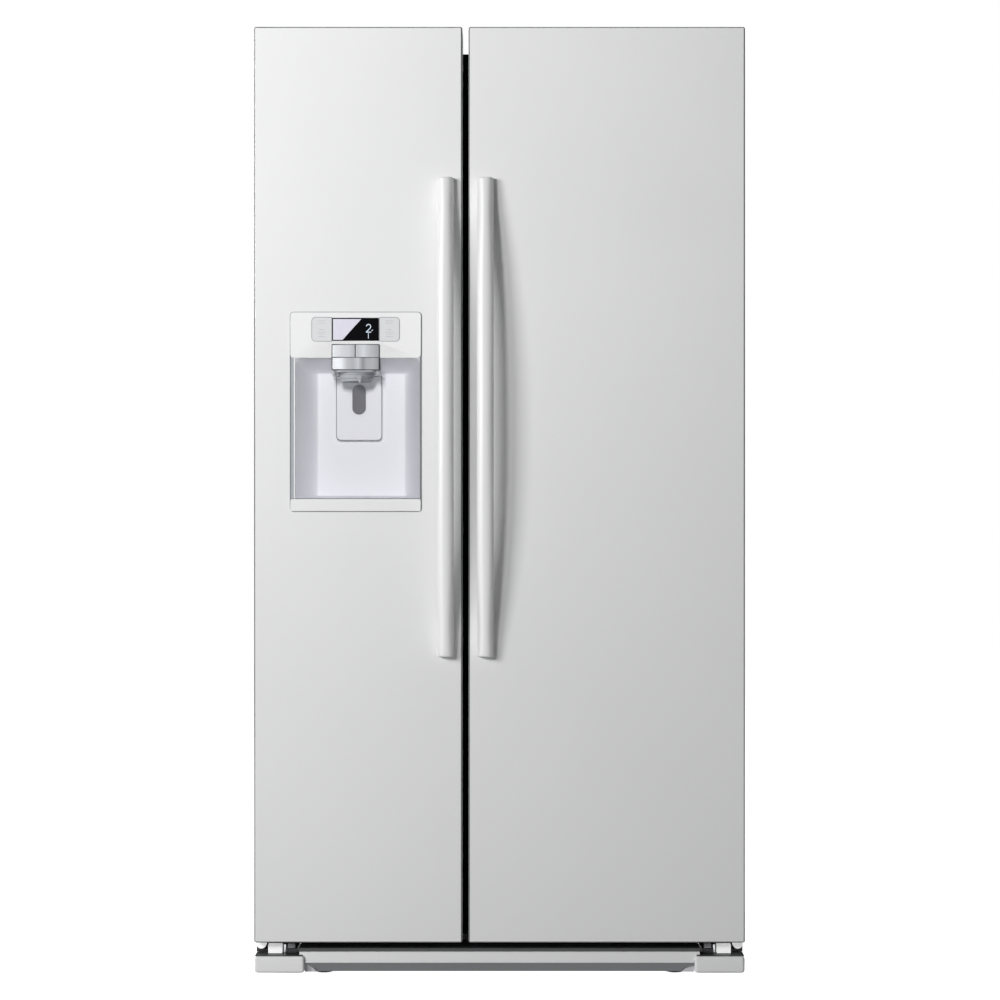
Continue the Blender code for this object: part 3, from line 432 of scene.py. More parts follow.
def polish(node, material, bevel=0.0008, segments=2, angle=30):
    """A CAD node shown as it is, with its surface and softened edges."""
    thing = frame["nodes"][node]
    mesh = thing.data
    mesh.materials.clear()
    mesh.materials.append(MATERIALS[material])
    mesh.shade_smooth()
    thing.modifiers.new("weld", "WELD").merge_threshold = 0.00001
    plane = thing.modifiers.new("plane", "DECIMATE")
    plane.decimate_type = "DISSOLVE"
    plane.angle_limit = math.radians(0.3)
    if bevel:
        edges = thing.modifiers.new("edges", "BEVEL")
        edges.width = bevel
        edges.segments = segments
        edges.limit_method = "ANGLE"
        edges.angle_limit = math.radians(angle)
    else:
        mesh.set_sharp_from_angle(angle=math.radians(angle))
    thing.modifiers.new("shading", "WEIGHTED_NORMAL").keep_sharp = True
    return thing


def screw_head(bm, place, axis, radius=0.0042, depth=0.0022):
    """A pan head with a round hollow, facing along the axis."""
    turn = Vector(axis).to_track_quat("Z", "Y").to_matrix().to_4x4()
    stand = Matrix.Translation(Vector(place)) @ turn
    rings = []
    for share, height in ((1.0, 0.0), (1.0, 0.35), (0.85, 0.75), (0.5, 0.97), (0.30, 1.0), (0.22, 0.45)):
        ring = level(circle((0, 0), radius * share, 20), depth * height)
        rings.append([stand @ Vector(point) for point in ring])
    add_loft(bm, rings)


# --- floor ------------------------------------------------------------------------------------------

floor = bpy.data.objects.new("floor", block((-30, -12, -0.02), (30, 40, 0.0)))
floor.data.materials.append(MATERIALS["studio_floor"])
scene.collection.objects.link(floor)
floor.visible_diffuse = False

card = bpy.data.objects.new("reflector", block((-7.0, -6.02, -2.0), (1.2, -6.0, 2.0)))
card.data.materials.append(MATERIALS["reflector"])
scene.collection.objects.link(card)
card.visible_camera = False
card.visible_diffuse = False
card.visible_shadow = False


# --- cabinet and doors, outside ---------------------------------------------------------------------

polish("cabinet_wrap", "enamel", 0.0)
polish("cabinet_foam", "foam", 0.0)
for kind in ("freezer", "fridge"):
    polish(kind + "_door_skin", "enamel", 0.0005, 2, 40)
    polish(kind + "_door_foam", "foam", 0.0)
for side in ("left", "right"):
    polish("hinge_cover_" + side, "white_plastic", 0.0)
    polish("top_hinge_" + side, "zinc", 0.0006)
    polish("bottom_hinge_" + side, "black_steel", 0.0008)
polish("leg_cover", "white_plastic", 0.0012, 2, 25)


# Painted shade: a black strip where the gap between the doors falls into shade.
strip("mullion_shade", (-0.0722, -0.2900, 0.0810), (-0.0541, -0.2828, 1.7476), "cabinet", "gap_shade_black")
# Painted shade: a dark grey sheet in the shaded slot below the doors.
strip("toe_shade_panel", (-0.3745, -0.2900, 0.0560), (0.3745, -0.2828, 0.0800), "cabinet", "dark_grey")
for side, sign in (("left", -1), ("right", 1)):
    near, far = sorted((sign * 0.4240, sign * 0.4536))
    strip("machine_side_" + side, (near, 0.4430, 0.0640), (far, 0.4450, 0.3045), "cabinet", "zinc",
          0.0004)


def door_trims(kind, sign):
    """Plastic edging between a door's steel and its lining, and a lining for the top hinge's pocket."""
    (x0, _, z0), (x1, _, z1) = extent(kind + "_door_skin")
    hinge, free = (x0 + 0.0002, x1 - 0.0002) if sign < 0 else (x1 - 0.0002, x0 + 0.0002)
    rings = []
    for inset in (0.0, 0.004):
        near, far, step = hinge - sign * inset, free + sign * inset, sign * (0.3985 - inset)
        low, high, notch = z0 + 0.0002 + inset, z1 - 0.0002 - inset, 1.7462 - inset
        rings.append([(near, low), (far, low), (far, high), (step, high), (step, notch), (near, notch)])
    outline_ring(kind + "_door_trim", rings[0], rings[1], -0.2983, -0.2954, kind + "_door", "white_plastic",
                 0.0004)
    wall = [(0.4002, -0.2985), (0.4012, -0.2985), (0.4012, -0.3688), (0.4537, -0.3688), (0.4537, -0.3698),
            (0.4002, -0.3698)]
    pocket = prism([(sign * x, y) for x, y in wall], "Z", 1.7472, 1.7784)
    piece(kind + "_hinge_pocket", pocket, kind + "_door", "white_plastic", 0.0002)


door_trims("freezer", -1)
door_trims("fridge", 1)


# Painted shade: dark grey over the bar's top, which lies in shade under the doors.
strip("bar_shade_cover", (-0.3735, -0.3752, 0.0631), (0.3735, -0.2830, 0.0690), "cabinet", "dark_grey",
      0.0004)
BAR_FACE = ((-0.3735, 0.0630), (-0.3806, 0.0432), (-0.3780, 0.0432), (-0.3718, 0.0630))
piece("bar_face", prism(BAR_FACE, "X", -0.3612, 0.3612), "cabinet", "white_plastic", 0.0006)


def undercut_shade_strip():
    """The leg cover's undercut in a darker grey as painted shade, with a slanted web at each end."""
    front, lower, lift = (-0.3802, 0.0430), (-0.3640, 0.0242), 0.0014
    rings = []
    for upper_x, lower_x in ((-0.3610, -0.3393), (0.3610, 0.3393)):
        rings.append([
            (upper_x, front[0], front[1]), (lower_x, lower[0], lower[1]),
            (lower_x, lower[0] + 0.002, lower[1] + lift), (upper_x, front[0] + 0.002, front[1] + lift),
        ])
    piece("undercut_shade_strip", loft(rings), "cabinet", "mid_grey", 0.0003)
    for side, sign in (("left", -1), ("right", 1)):
        corners = ((0.3625, 0.0431), (0.3606, 0.0431), (0.3393, 0.0244), (0.3625, 0.0244))
        web = [(sign * x, z) for x, z in corners]
        piece("kick_web_" + side, prism(web, "Y", -0.3700, -0.3660), "cabinet", "pale_grey",
              0.0005)


undercut_shade_strip()


def hinge_fittings(side, sign):
    """Closing cam, stop and spacer at a bottom hinge; the cam and the stop glow as painted light, and a
    black plate behind stands in for shade.
    """
    def across(first, second):
        return sorted((sign * first, sign * second))

    centre, radius = sign * 0.4440, 0.0093
    cam = arc((centre, 0.0752), radius, 180, 360, 18)
    cam += [(centre + radius, 0.0812), (centre - radius, 0.0812)]
    piece("hinge_cam_" + side, prism(cam, "Y", -0.3640, -0.3500), "cabinet", "glowing_white",
          0.0008)
    for name, first, second, front, back, base, top, material in (
        ("cap_tray_", 0.3660, 0.4540, -0.3835, -0.3490, 0.0562, 0.0573, "black_steel"),
        ("bracket_side_", 0.4470, 0.4545, -0.3490, -0.2900, 0.0574, 0.0790, "black_steel"),
        # painted shade: a black plate standing in for the shade behind the hinge
        ("bracket_shade_plate_", 0.3760, 0.4460, -0.2960, -0.2868, 0.0630, 0.0800, "black_steel"),
        ("door_stop_", 0.4050, 0.4312, -0.3640, -0.3495, 0.0575, 0.0737, "glowing_white"),
        ("spacer_", 0.3815, 0.3950, -0.3600, -0.3470, 0.0666, 0.0738, "pale_grey"),
        ("spacer_seat_", 0.3775, 0.3980, -0.3620, -0.2905, 0.0575, 0.0664, "black_steel"),
    ):
        low, high = across(first, second)
        strip(name + side, (low, front, base), (high, back, top), "cabinet", material,
              0.0008)
    piece("stop_screw_" + side, rod((sign * 0.4000, -0.358, 0.0575), (sign * 0.4000, -0.358, 0.0735),
                                    0.0026, None, 24), "cabinet", "aluminium", 0.0006)
    bm = bmesh.new()
    for height in (0.092, 0.104):
        screw_head(bm, (sign * 0.414, -0.2860, height), (0, -1, 0), 0.0045, 0.0024)
    piece("bracket_screws_" + side, to_mesh(bm), "cabinet", "zinc")


hinge_fittings("left", -1)
hinge_fittings("right", 1)


# --- handles ----------------------------------------------------------------------------------------

def handle(kind, x, body):
    """A bowed bar with a full, D shaped section that grows out of the door at both ends."""
    bottom, top, face = 0.613, 1.498, DOOR_FACE - 0.0003
    middle, half, foot, half_width = (bottom + top) / 2, (top - bottom) / 2, 0.055, 0.01525
    ends = (0.0, 0.0006, 0.0016, 0.0034, 0.0036, 0.0044, 0.0046, 0.012, 0.022, 0.034, 0.046)
    shrink = (0.0022, 0.0009, 0.0, 0.0, 0.0008, 0.0008, 0.0, 0.0, 0.0, 0.0, 0.0)
    stations = [(bottom + e, s) for e, s in zip(ends, shrink)]
    steps = 56
    stations += [(bottom + foot + (top - bottom - 2 * foot) * i / steps, 0.0) for i in range(steps + 1)]
    stations += [(top - e, s) for e, s in reversed(list(zip(ends, shrink)))]
    rings = []
    for z, inset in stations:
        share = (z - middle) / half
        front = DOOR_FACE - 0.022 - 0.035 * (1.0 - share * share) + inset
        inner = abs(z - middle) / (half - foot)
        rear = face - 0.038 * max(1.0 - inner ** 3, 0.0)
        width = half_width - inset
        depth = rear - front
        ring = []
        for step in range(25):
            a = math.pi * step / 24
            c, s = math.cos(a), math.sin(a)
            bulge = (depth - 0.003) * s ** 0.75
            ring.append((x + width * math.copysign(abs(c) ** 0.85, c), rear - 0.003 - bulge, z))
        ring += [(x - width, rear - 0.0022, z), (x - width + 0.0022, rear, z),
                 (x + width - 0.0022, rear, z), (x + width, rear - 0.0022, z)]
        rings.append(ring)
    name = kind + "_grip"
    piece(name, loft(rings), body, "handle_satin", covers=(kind + "_handle",), angle=50)


handle("freezer", -0.0994, "freezer_door")
handle("fridge", -0.0259, "fridge_door")


# --- dispenser --------------------------------------------------------------------------------------

DISPENSER = ((-0.3870, 0.8815), (-0.1457, 1.2494))
CONTROLS = (-0.3094, -0.2231)      # sides of the buttons and band


def metal_with_painted_reflections(name, stops):
    """Brushed metal with soft upright bands of painted reflection, light and dark, across the controls."""
    material = finish(name, (0.84, 0.86, 0.88), 0.40, metal=0.30, grain=900, vary=0.04, bump=0.08,
                      stretch=(1, 1, 0.05))
    tree = material.node_tree
    place = add_node(tree, "TexCoord")
    split = add_node(tree, "SeparateXYZ", {0: place.outputs["Object"]})
    across = add_node(tree, "MapRange", {
        "Value": split.outputs["X"], "From Min": CONTROLS[0], "From Max": CONTROLS[1],
    })
    ramp = add_node(tree, "ValToRGB", {"Fac": across.outputs[0]})
    elements = ramp.color_ramp.elements
    while len(elements) < len(stops):
        elements.new(0.5)
    for element, (position, tone) in zip(elements, stops):
        element.position = position
        element.color = (tone, tone, tone * 1.02, 1.0)
    base = tree.nodes["Principled BSDF"].inputs["Base Color"]
    tree.links.new(mixed(tree, 1.0, base.links[0].from_socket, ramp.outputs["Color"], "MULTIPLY"), base)


# Painted reflections: the tones of the upright bands on the band and on the keys.
metal_with_painted_reflections("band_metal", (
    (0.0, 0.46), (0.06, 0.56), (0.20, 0.72), (0.32, 0.54), (0.45, 0.52), (0.56, 0.74), (0.66, 0.38),
    (0.74, 0.60), (0.88, 0.68), (1.0, 0.52),
))
metal_with_painted_reflections("key_metal", (
    (0.0, 0.44), (0.12, 0.50), (0.35, 0.66), (0.47, 0.58), (0.52, 0.66), (0.68, 0.92), (0.85, 0.74),
    (1.0, 0.62),
))

polish("control_panel", "white_plastic", 0.0009, 3)
polish("drip_tray", "white_plastic", 0.0007, 2)
polish("dispenser_band", "band_metal", 0.0010, 3)
polish("ice_button", "key_metal", 0.0009, 3)
polish("water_button", "key_metal", 0.0009, 3)
polish("dispenser_lever", "glowing_grey_white", 0.0008, 2)


def grown(corners, amount, radii):
    (left, bottom), (right, top) = corners
    radii = radii if hasattr(radii, "__len__") else (radii,) * 4
    return rounded((left - amount, bottom - amount), (right + amount, top + amount),
                   [max(r + amount, 0.0004) for r in radii], 8)


outline_ring("dispenser_seal", grown(DISPENSER, 0.0013, 0.006), grown(DISPENSER, -0.0004, 0.006),
             -0.3915, -0.3906, "freezer_door", "mid_grey")


def side_fall(distance, reach):
    """How deep the recess is: 0 at its edge, a straight slanted side, a fillet, and 1 at the back."""
    share = min(max(distance / reach, 0.0), 1.0)
    fillet = 0.46
    slope = 2.0 / (1.0 + fillet)
    if share < fillet:
        return share * slope
    return 1.0 - (1.0 - fillet * slope) * ((1.0 - share) / (1.0 - fillet)) ** 2


def recess():
    """The glass space: one moulded surface whose sides and ceiling curve into the back."""
    left, right, low, high = -0.3781, -0.1472, 0.9046, 1.1650
    front, depth = -0.3900, 0.1130
    near = (0.0, 0.05, 0.16, 0.26, 0.36, 0.46, 0.53, 0.60, 0.67, 0.74, 0.81, 0.88, 0.94, 1.0)
    side, ceiling, foot = 0.034, 0.024, 0.006
    xs = [left + side * s for s in near]
    xs += [left + side + (right - left - 2 * side) * i / 10 for i in range(1, 10)]
    xs += [right - side * s for s in reversed(near)]
    notch = (-0.3104, -0.2221)
    xs = sorted(xs + list(notch))
    zs = [low + foot * s for s in near]
    zs += [low + foot + (high - low - foot - ceiling) * i / 10 for i in range(1, 10)]
    zs += [high - ceiling * s for s in reversed(near)]
    bm = bmesh.new()
    rows = []
    for z in zs:
        row = []
        for x in xs:
            across = side_fall(min(x - left, right - x), side)
            up = side_fall(z - low, foot) * side_fall(high - z, ceiling)
            row.append(bm.verts.new((x, front + depth * across * up, z)))
        rows.append(row)
    for first, second in zip(rows, rows[1:]):
        for i in range(len(xs) - 1):
            behind_buttons = second is rows[-1] and notch[0] <= xs[i] < notch[1]
            if not behind_buttons:
                bm.faces.new((first[i], second[i], second[i + 1], first[i + 1]))
    bmesh.ops.delete(bm, geom=[v for v in bm.verts if not v.link_faces], context="VERTS")
    mesh = bpy.data.meshes.new("mesh")
    bm.to_mesh(mesh)
    bm.free()
    shell = piece("recess", mesh, "freezer_door", "glowing_grey_white",
                  covers=("dispenser_housing",), angle=80)
    skin = shell.modifiers.new("skin", "SOLIDIFY")
    skin.thickness = 0.0016
    skin.offset = 1.0
    shell.modifiers.new("shading", "WEIGHTED_NORMAL")
    niche_piece(shell)


recess()
# Painted shade: a dark grey band along the recess frame's left lip.
strip("recess_rim_shade", (-0.3859, -0.3921, 0.9047), (-0.3805, -0.3897, 1.1651), "freezer_door", "rim_shade_grey",
      0.0004)
strip("recess_lip", (-0.3805, -0.3932, 0.9047), (-0.3779, -0.3890, 1.1651), "freezer_door", "white_plastic",
      0.0008)
strip("recess_edge", (-0.1474, -0.3925, 0.9047), (-0.1458, -0.3897, 1.1651), "freezer_door", "mid_grey",
      0.0004)
strip("recess_sill_line", (-0.3866, -0.3938, 0.9046), (-0.1461, -0.3900, 0.9056), "freezer_door", "mid_grey",
      0.0003)
strip("control_backing", (-0.3112, -0.3842, 1.1428), (-0.2213, -0.3800, 1.1898), "freezer_door", "dark_grey",
      0.0002)
BUTTONS = ((CONTROLS[0], 1.1439), (CONTROLS[1], 1.1893))
outline_ring("button_gap", grown(BUTTONS, 0.0013, 0.0008), grown(BUTTONS, 0.0001, 0.0008), -0.3946, -0.3900,
             "freezer_door", "dark_grey", 0.0002)


def touch_plate(name, left, right, outer_left):
    """A pale key plate with a fine outline, and small plain marks on it."""
    corners = ((left, 1.1955), (right, 1.2407))
    big, small = 0.0075, 0.0012
    radii = (small, big, big, small) if outer_left else (big, small, small, big)
    outline_ring(name + "_outline", grown(corners, 0.0, radii), grown(corners, -0.0008, radii),
                 -0.39385, -0.3934, "freezer_door", "line_grey")
    plate = grown(corners, -0.0009, radii)
    piece(name, prism(plate, "Y", -0.39375, -0.3934), "freezer_door", "pale_plate", 0.00012)
    bm = bmesh.new()
    middle = (left + right) / 2
    for height, half in ((1.2338, 0.0070), (1.2297, 0.0072), (1.2178, 0.0042), (1.2128, 0.0074),
                         (1.2092, 0.0062), (1.2045, 0.0066)):
        x = middle - half
        while x < middle + half - 0.0008:
            length = random.uniform(0.0006, 0.0022)
            end = min(x + length, middle + half)
            add_block(bm, (x, -0.3939, height - 0.0004), (end, -0.39378, height + 0.0004))
            x += length + 0.0007
    piece(name + "_marks", to_mesh(bm), "freezer_door", "mark_grey")


touch_plate("touch_plate_left", -0.3479, -0.3099, True)
touch_plate("touch_plate_right", -0.2226, -0.1846, False)


def ribbon(bm, points, width, front, back):
    """A flat stroke of even width through points in the XZ plane."""
    flat = [Vector(p) for p in points]
    sides = ([], [])
    for i, point in enumerate(flat):
        before = flat[max(i - 1, 0)]
        after = flat[min(i + 1, len(flat) - 1)]
        along = (after - before).normalized()
        normal = Vector((-along.y, along.x)) * width / 2
        sides[0].append(point + normal)
        sides[1].append(point - normal)
    outline = sides[0] + list(reversed(sides[1]))
    add_prism(bm, [tuple(p) for p in outline], "Y", front, back)


def display():
    glass = prism(rounded((-0.3093, 1.1969), (-0.2232, 1.2391), 0.0012), "Y", -0.3937, -0.3923)
    piece("display", glass, "freezer_door", "black_glass", 0.0004, 2)
    # Painted reflection: a pale glowing patch with a slanted edge on the left of the display.
    reflection_outline = [(-0.3080, 1.2371), (-0.2558, 1.2371), (-0.2905, 1.1985), (-0.3080, 1.1985)]
    piece("display_reflection", prism(reflection_outline, "Y", -0.39385, -0.3936), "freezer_door", "reflection_glow_pale",
          0.00008)
    bm = bmesh.new()
    x, z = -0.2423, 1.2198
    curve = [(-0.0042, 0.0036), (-0.0030, 0.0063), (0.0, 0.0074), (0.0030, 0.0063), (0.0042, 0.0034),
             (0.0030, 0.0004), (-0.0042, -0.0070)]
    ribbon(bm, [(x + a, z + b) for a, b in curve], 0.0015, -0.3939, -0.3936)
    ribbon(bm, [(x - 0.0048, z - 0.0070), (x + 0.0048, z - 0.0070)], 0.0015, -0.3939, -0.3936)
    ribbon(bm, [(-0.2370, 1.2150), (-0.2342, 1.2172)], 0.0010, -0.3939, -0.3936)
    ribbon(bm, [(-0.2427, 1.2108), (-0.2427, 1.2010)], 0.0010, -0.3939, -0.3936)
    piece("display_digit", to_mesh(bm), "freezer_door", "glow_digit")


display()


def spout():
    """The chute's mouth: a collar with ears under the band, a short ribbed funnel and the water nozzle."""
    top, bottom, y = 1.1433, 1.1222, -0.3620
    collar = []
    for inset, z in ((0.0008, top), (0.0, top - 0.001), (0.0, top - 0.004), (0.0012, top - 0.0052)):
        low = (CENTRE - 0.0385 + inset, -0.3955 + inset)
        high = (CENTRE + 0.0385 - inset, -0.330 - inset)
        collar.append(level(rounded(low, high, 0.012), z))
    piece("spout_collar", loft(collar), "freezer_door", "frosted", 0.0003)
    profile = (
        (0.0300, top - 0.0052), (0.0340, top - 0.0052), (0.0336, top - 0.0085), (0.0322, top - 0.0092),
        (0.0318, top - 0.0125), (0.0328, top - 0.0133), (0.0320, top - 0.0160), (0.0300, top - 0.0170),
        (0.0292, bottom + 0.0008), (0.0286, bottom), (0.0262, bottom), (0.0256, bottom + 0.0010),
        (0.0280, top - 0.0052),
    )
    rings = [level(circle((CENTRE, y), radius, 64), z) for radius, z in profile]
    rings.append(rings[0])
    piece("spout_funnel", loft(rings, close=False), "freezer_door", "frosted",
          covers=("dispenser_spout",), angle=40)
    bm = bmesh.new()
    add_block(bm, (-0.2612, -0.3968, 1.1245), (-0.2548, -0.3905, 1.1330))
    add_rod(bm, (-0.2580, -0.3936, 1.1190), (-0.2580, -0.3936, 1.1250), 0.0022, 0.0026)
    piece("water_nozzle", to_mesh(bm), "freezer_door", "frosted", 0.0006)
    bm = bmesh.new()
    for sign in (-1, 1):
        ear = sorted((CENTRE + sign * 0.0385, CENTRE + sign * 0.0440))
        add_block(bm, (ear[0], -0.3890, 1.1330), (ear[1], -0.3400, 1.1424))
    piece("spout_ears", to_mesh(bm), "freezer_door", "frosted", 0.0010)


spout()


def paddle():
    """The front of the dispensing paddle with its soft pad."""
    half = 0.0436
    corners = ((CENTRE - half, 1.0149), (CENTRE + half, 1.1368))
    radii = (0.001, 0.001, 0.009, 0.009)
    outline_ring("paddle_edge", grown(corners, 0.0, radii), grown(corners, -0.0011, radii), -0.2914, -0.2904,
                 "dispenser_lever", "line_grey")
    niche_piece(piece("paddle_face", prism(grown(corners, -0.0012, radii), "Y", -0.2912, -0.2904),
                      "dispenser_lever", "glowing_grey_white", 0.0003))
    niche_piece(frame["nodes"]["dispenser_lever"])
    pad = rounded((CENTRE - 0.0128, 1.0641), (CENTRE + 0.0128, 1.1205), 0.0125, 10)
    piece("paddle_pad", prism(pad, "Y", -0.2936, -0.2911), "dispenser_lever", "pad_grey",
          0.0010, 3)


paddle()


# --- door linings, seals and door bins --------------------------------------------------------------

def seal(kind):
    """A magnetic door seal with bellows along both of its sides."""
    (x0, _, z0), (x1, _, z1) = extent(kind + "_gasket")
    profile = ((0.0010, -0.2952), (0.0, -0.2935), (0.0016, -0.2915), (0.0003, -0.2890), (0.0018, -0.2865),
               (0.0005, -0.2840), (0.0020, -0.2829), (0.0120, -0.2829), (0.0135, -0.2840), (0.0122, -0.2865),
               (0.0137, -0.2890), (0.0124, -0.2915), (0.0140, -0.2935), (0.0130, -0.2952))
    rings = [upright(rounded((x0 + inset, z0 + inset), (x1 - inset, z1 - inset), 0.016 - inset, 5), y)
             for inset, y in profile]
    rings.append(rings[0])
    piece(kind + "_seal", loft(rings, close=False), kind + "_door", "rubber",
          covers=(kind + "_gasket",), angle=50)


for kind in ("freezer", "fridge"):
    polish(kind + "_door_liner", "lining", 0.0025, 3)
    seal(kind)


def door_bin(name, node, body, shown_from=None):
    """A clear bin on the door with a broad front band and a bar across it."""
    (x0, y0, z0), (x1, y1, z1) = extent(node) if node else shown_from
    covers = (node,) if node else ()
    piece(name, tub((x0, y0, z0), (x1, y1, z1), 0.016, 0.0022, 0.006), body, "clear",
          covers=covers, angle=40)
    bm = bmesh.new()
    add_block(bm, (x0 + 0.018, y1 - 0.0002, z1 - 0.030), (x1 - 0.018, y1 + 0.0016, z1 - 0.010))
    for step in range(1, 4):
        x = x0 + (x1 - x0) * step / 4
        add_block(bm, (x - 0.0012, y0 + 0.008, z0 + 0.0022), (x + 0.0012, y1 - 0.008, z0 + 0.006))
    piece(name + "_band", to_mesh(bm), body, "pale_grey", 0.0006)


door_bin("freezer_door_bin", "freezer_bin", "freezer_door")
door_bin("fridge_door_bin", "fridge_bin", "fridge_door")
BOTTLE_BIN = ((-0.0014, -0.2952, 0.640), (0.3774, -0.1955, 0.775))
door_bin("fridge_bottle_bin", None, "fridge_door", BOTTLE_BIN)
door_bin("dairy_bin", "dairy_tray", "fridge_door")
polish("dairy_cover", "clear", 0.0008, 2)


def lining_details(kind, body):
    """Shallow ribs on a door's lining, between its raised sides."""
    left, right = DIKES[kind]
    bm = bmesh.new()
    for step in range(33):
        z = 0.200 + 0.045 * step
        if z > 1.66 or (kind == "freezer" and 0.85 < z < 1.28):
            continue
        for side in ((left + 0.018, left + 0.030), (right - 0.030, right - 0.018)):
            add_block(bm, (side[0], -0.2957, z), (side[1], -0.2938, z + 0.010))
    piece(kind + "_lining_ribs", to_mesh(bm), body, "lining", 0.0007)


lining_details("freezer", "freezer_door")
lining_details("fridge", "fridge_door")


# --- compartments -----------------------------------------------------------------------------------

polish("freezer_liner", "lining", 0.0006)
polish("fridge_liner", "lining", 0.0006)
polish("evaporator_cover", "lining", 0.0012)
polish("duct_cover", "lining", 0.0010)
polish("evaporator", "aluminium", 0.0006)
polish("ice_maker", "grey_plastic", 0.0010)


def shelf(node):
    """Tempered glass in a moulded trim, with a rounded front edge and a raised back stop."""
    (x0, y0, z0), (x1, y1, z1) = extent(node)
    height = z0 + 0.010
    glass = block((x0 + 0.004, y0 + 0.010, height), (x1 - 0.004, y1 - 0.006, height + 0.0045))
    piece(node + "_glass", glass, "cabinet", "shelf_glass", 0.0008, covers=(node,))
    front = [(y0 + 0.010, height - 0.009), (y0 + 0.010, height + 0.0070)]
    front += [(y0 + 0.0045 + a, height - 0.0015 + b) for a, b in arc((0.0, 0.0), 0.0085, 90, 200, 8)]
    bm = bmesh.new()
    outline = [(max(y, y0), z) for y, z in front]
    add_prism(bm, outline, "X", x0, x1)
    add_prism(bm, [(y1 - 0.012, height - 0.004), (y1, height - 0.004), (y1, height + 0.012),
                   (y1 - 0.004, height + 0.012), (y1 - 0.012, height + 0.0055)], "X", x0, x1)
    for left in (x0, x1 - 0.010):
        add_block(bm, (left, y0 + 0.010, height - 0.005), (left + 0.010, y1 - 0.012, height - 0.0001))
    piece(node + "_trim", to_mesh(bm), "cabinet", "pale_grey", 0.0010)


for name in ("freezer_shelf_lower", "freezer_shelf_upper", "fridge_shelf_lower", "fridge_shelf_upper",
             "crisper_cover"):
    shelf(name)


def drawer(node):
    """A clear drawer with side lips, and a frosted front with a finger grip."""
    (x0, y0, z0), (x1, y1, z1) = extent(node)
    lip, lip_front = 0.008, -0.065
    piece(node + "_body", tub((x0 + lip, y0 + 0.012, z0), (x1 - lip, y1, z1), 0.014, 0.0024, 0.006),
          node, "clear", covers=(node,), angle=40)
    bm = bmesh.new()
    for left in (x0, x1 - lip):
        add_block(bm, (left, lip_front, z1 - 0.0045), (left + lip, y1 - 0.004, z1 - 0.0005))
    piece(node + "_lips", to_mesh(bm), node, "clear", 0.0006)
    top = z1 - 0.001
    profile = [(y0 + 0.0122, top - 0.070), (y0 + 0.0102, top - 0.070), (y0 + 0.0080, top - 0.024),
               (y0 + 0.0005, top - 0.018), (y0, top - 0.012), (y0, top - 0.003), (y0 + 0.0022, top),
               (y0 + 0.0122, top)]
    piece(node + "_front", prism(profile, "X", x0 + lip + 0.002, x1 - lip - 0.002), node,
          "frosted", 0.0012)


for name in ("freezer_drawer_lower", "freezer_drawer_upper", "crisper_lower", "crisper_upper"):
    drawer(name)


def ice_bucket():
    (x0, y0, z0), (x1, y1, z1) = extent("ice_bucket")
    lip = 0.008
    polish("ice_bucket", "clear", 0.0012)
    front = prism(rounded((x0 + lip + 0.001, z0 + 0.002), (x1 - lip - 0.001, z1 - 0.006), 0.012), "Y",
                  y0 - 0.004, y0 - 0.0002)
    piece("bucket_front", front, "ice_bucket", "white_plastic", 0.0014, 3)
    bm = bmesh.new()
    middle, height = (x0 + x1) / 2, z0 + 0.030
    add_rod(bm, (middle, y0 + 0.012, height), (middle, y1 - 0.010, height), 0.004)
    for turn in range(40):
        a, y = math.tau * turn / 10, y0 + 0.030 + 0.0098 * turn
        arm = Vector((math.cos(a), 0, math.sin(a))) * 0.022
        add_rod(bm, (middle, y, height), (middle + arm.x, y, height + arm.z), 0.0030, 0.0018, 10)
    piece("ice_auger", to_mesh(bm), "ice_bucket", "aluminium")


ice_bucket()


def ice_maker_details():
    """The tray's ribs and feeler arm."""
    bm = bmesh.new()
    for step in range(1, 8):
        y = 0.060 + 0.030 * step
        add_block(bm, (-0.369, y - 0.001, 1.5855), (-0.119, y + 0.001, 1.612))
    add_block(bm, (-0.245, 0.061, 1.5855), (-0.243, 0.299, 1.612))
    piece("ice_tray_ribs", to_mesh(bm), "cabinet", "grey_plastic", 0.0006)
    bm = bmesh.new()
    add_rod(bm, (-0.378, 0.034, 1.570), (-0.110, 0.034, 1.570), 0.0020)
    add_rod(bm, (-0.378, 0.034, 1.570), (-0.378, 0.044, 1.600), 0.0020)
    add_rod(bm, (-0.110, 0.034, 1.570), (-0.110, 0.044, 1.600), 0.0020)
    piece("feeler_arm", to_mesh(bm), "cabinet", "aluminium")


ice_maker_details()


def lamp(name, x0, x1, y, top):
    cover = loft([level(rounded((x0 + i, y - 0.045 + i), (x1 - i, y + 0.045 - i), 0.012), top - d)
                        for i, d in ((0.0, 0.0), (0.0, 0.004), (0.003, 0.010), (0.010, 0.014))])
    piece(name, cover, "cabinet", "lamp", 0.0006)


lamp("freezer_lamp", -0.300, -0.190, -0.060, 1.6878)
lamp("fridge_lamp", 0.100, 0.260, -0.060, 1.6878)


# --- machine space and underside --------------------------------------------------------------------

polish("compressor", "black_steel", 0.0015)
polish("condenser", "black_steel", 0.0006)
polish("condenser_fan", "grey_plastic", 0.0005)
polish("base_frame", "zinc", 0.0006)
polish("back_panel", "zinc", 0.0003)
polish("machine_cover", "zinc", 0.0003)
polish("cord_gland", "dark_rubber", 0.0012)


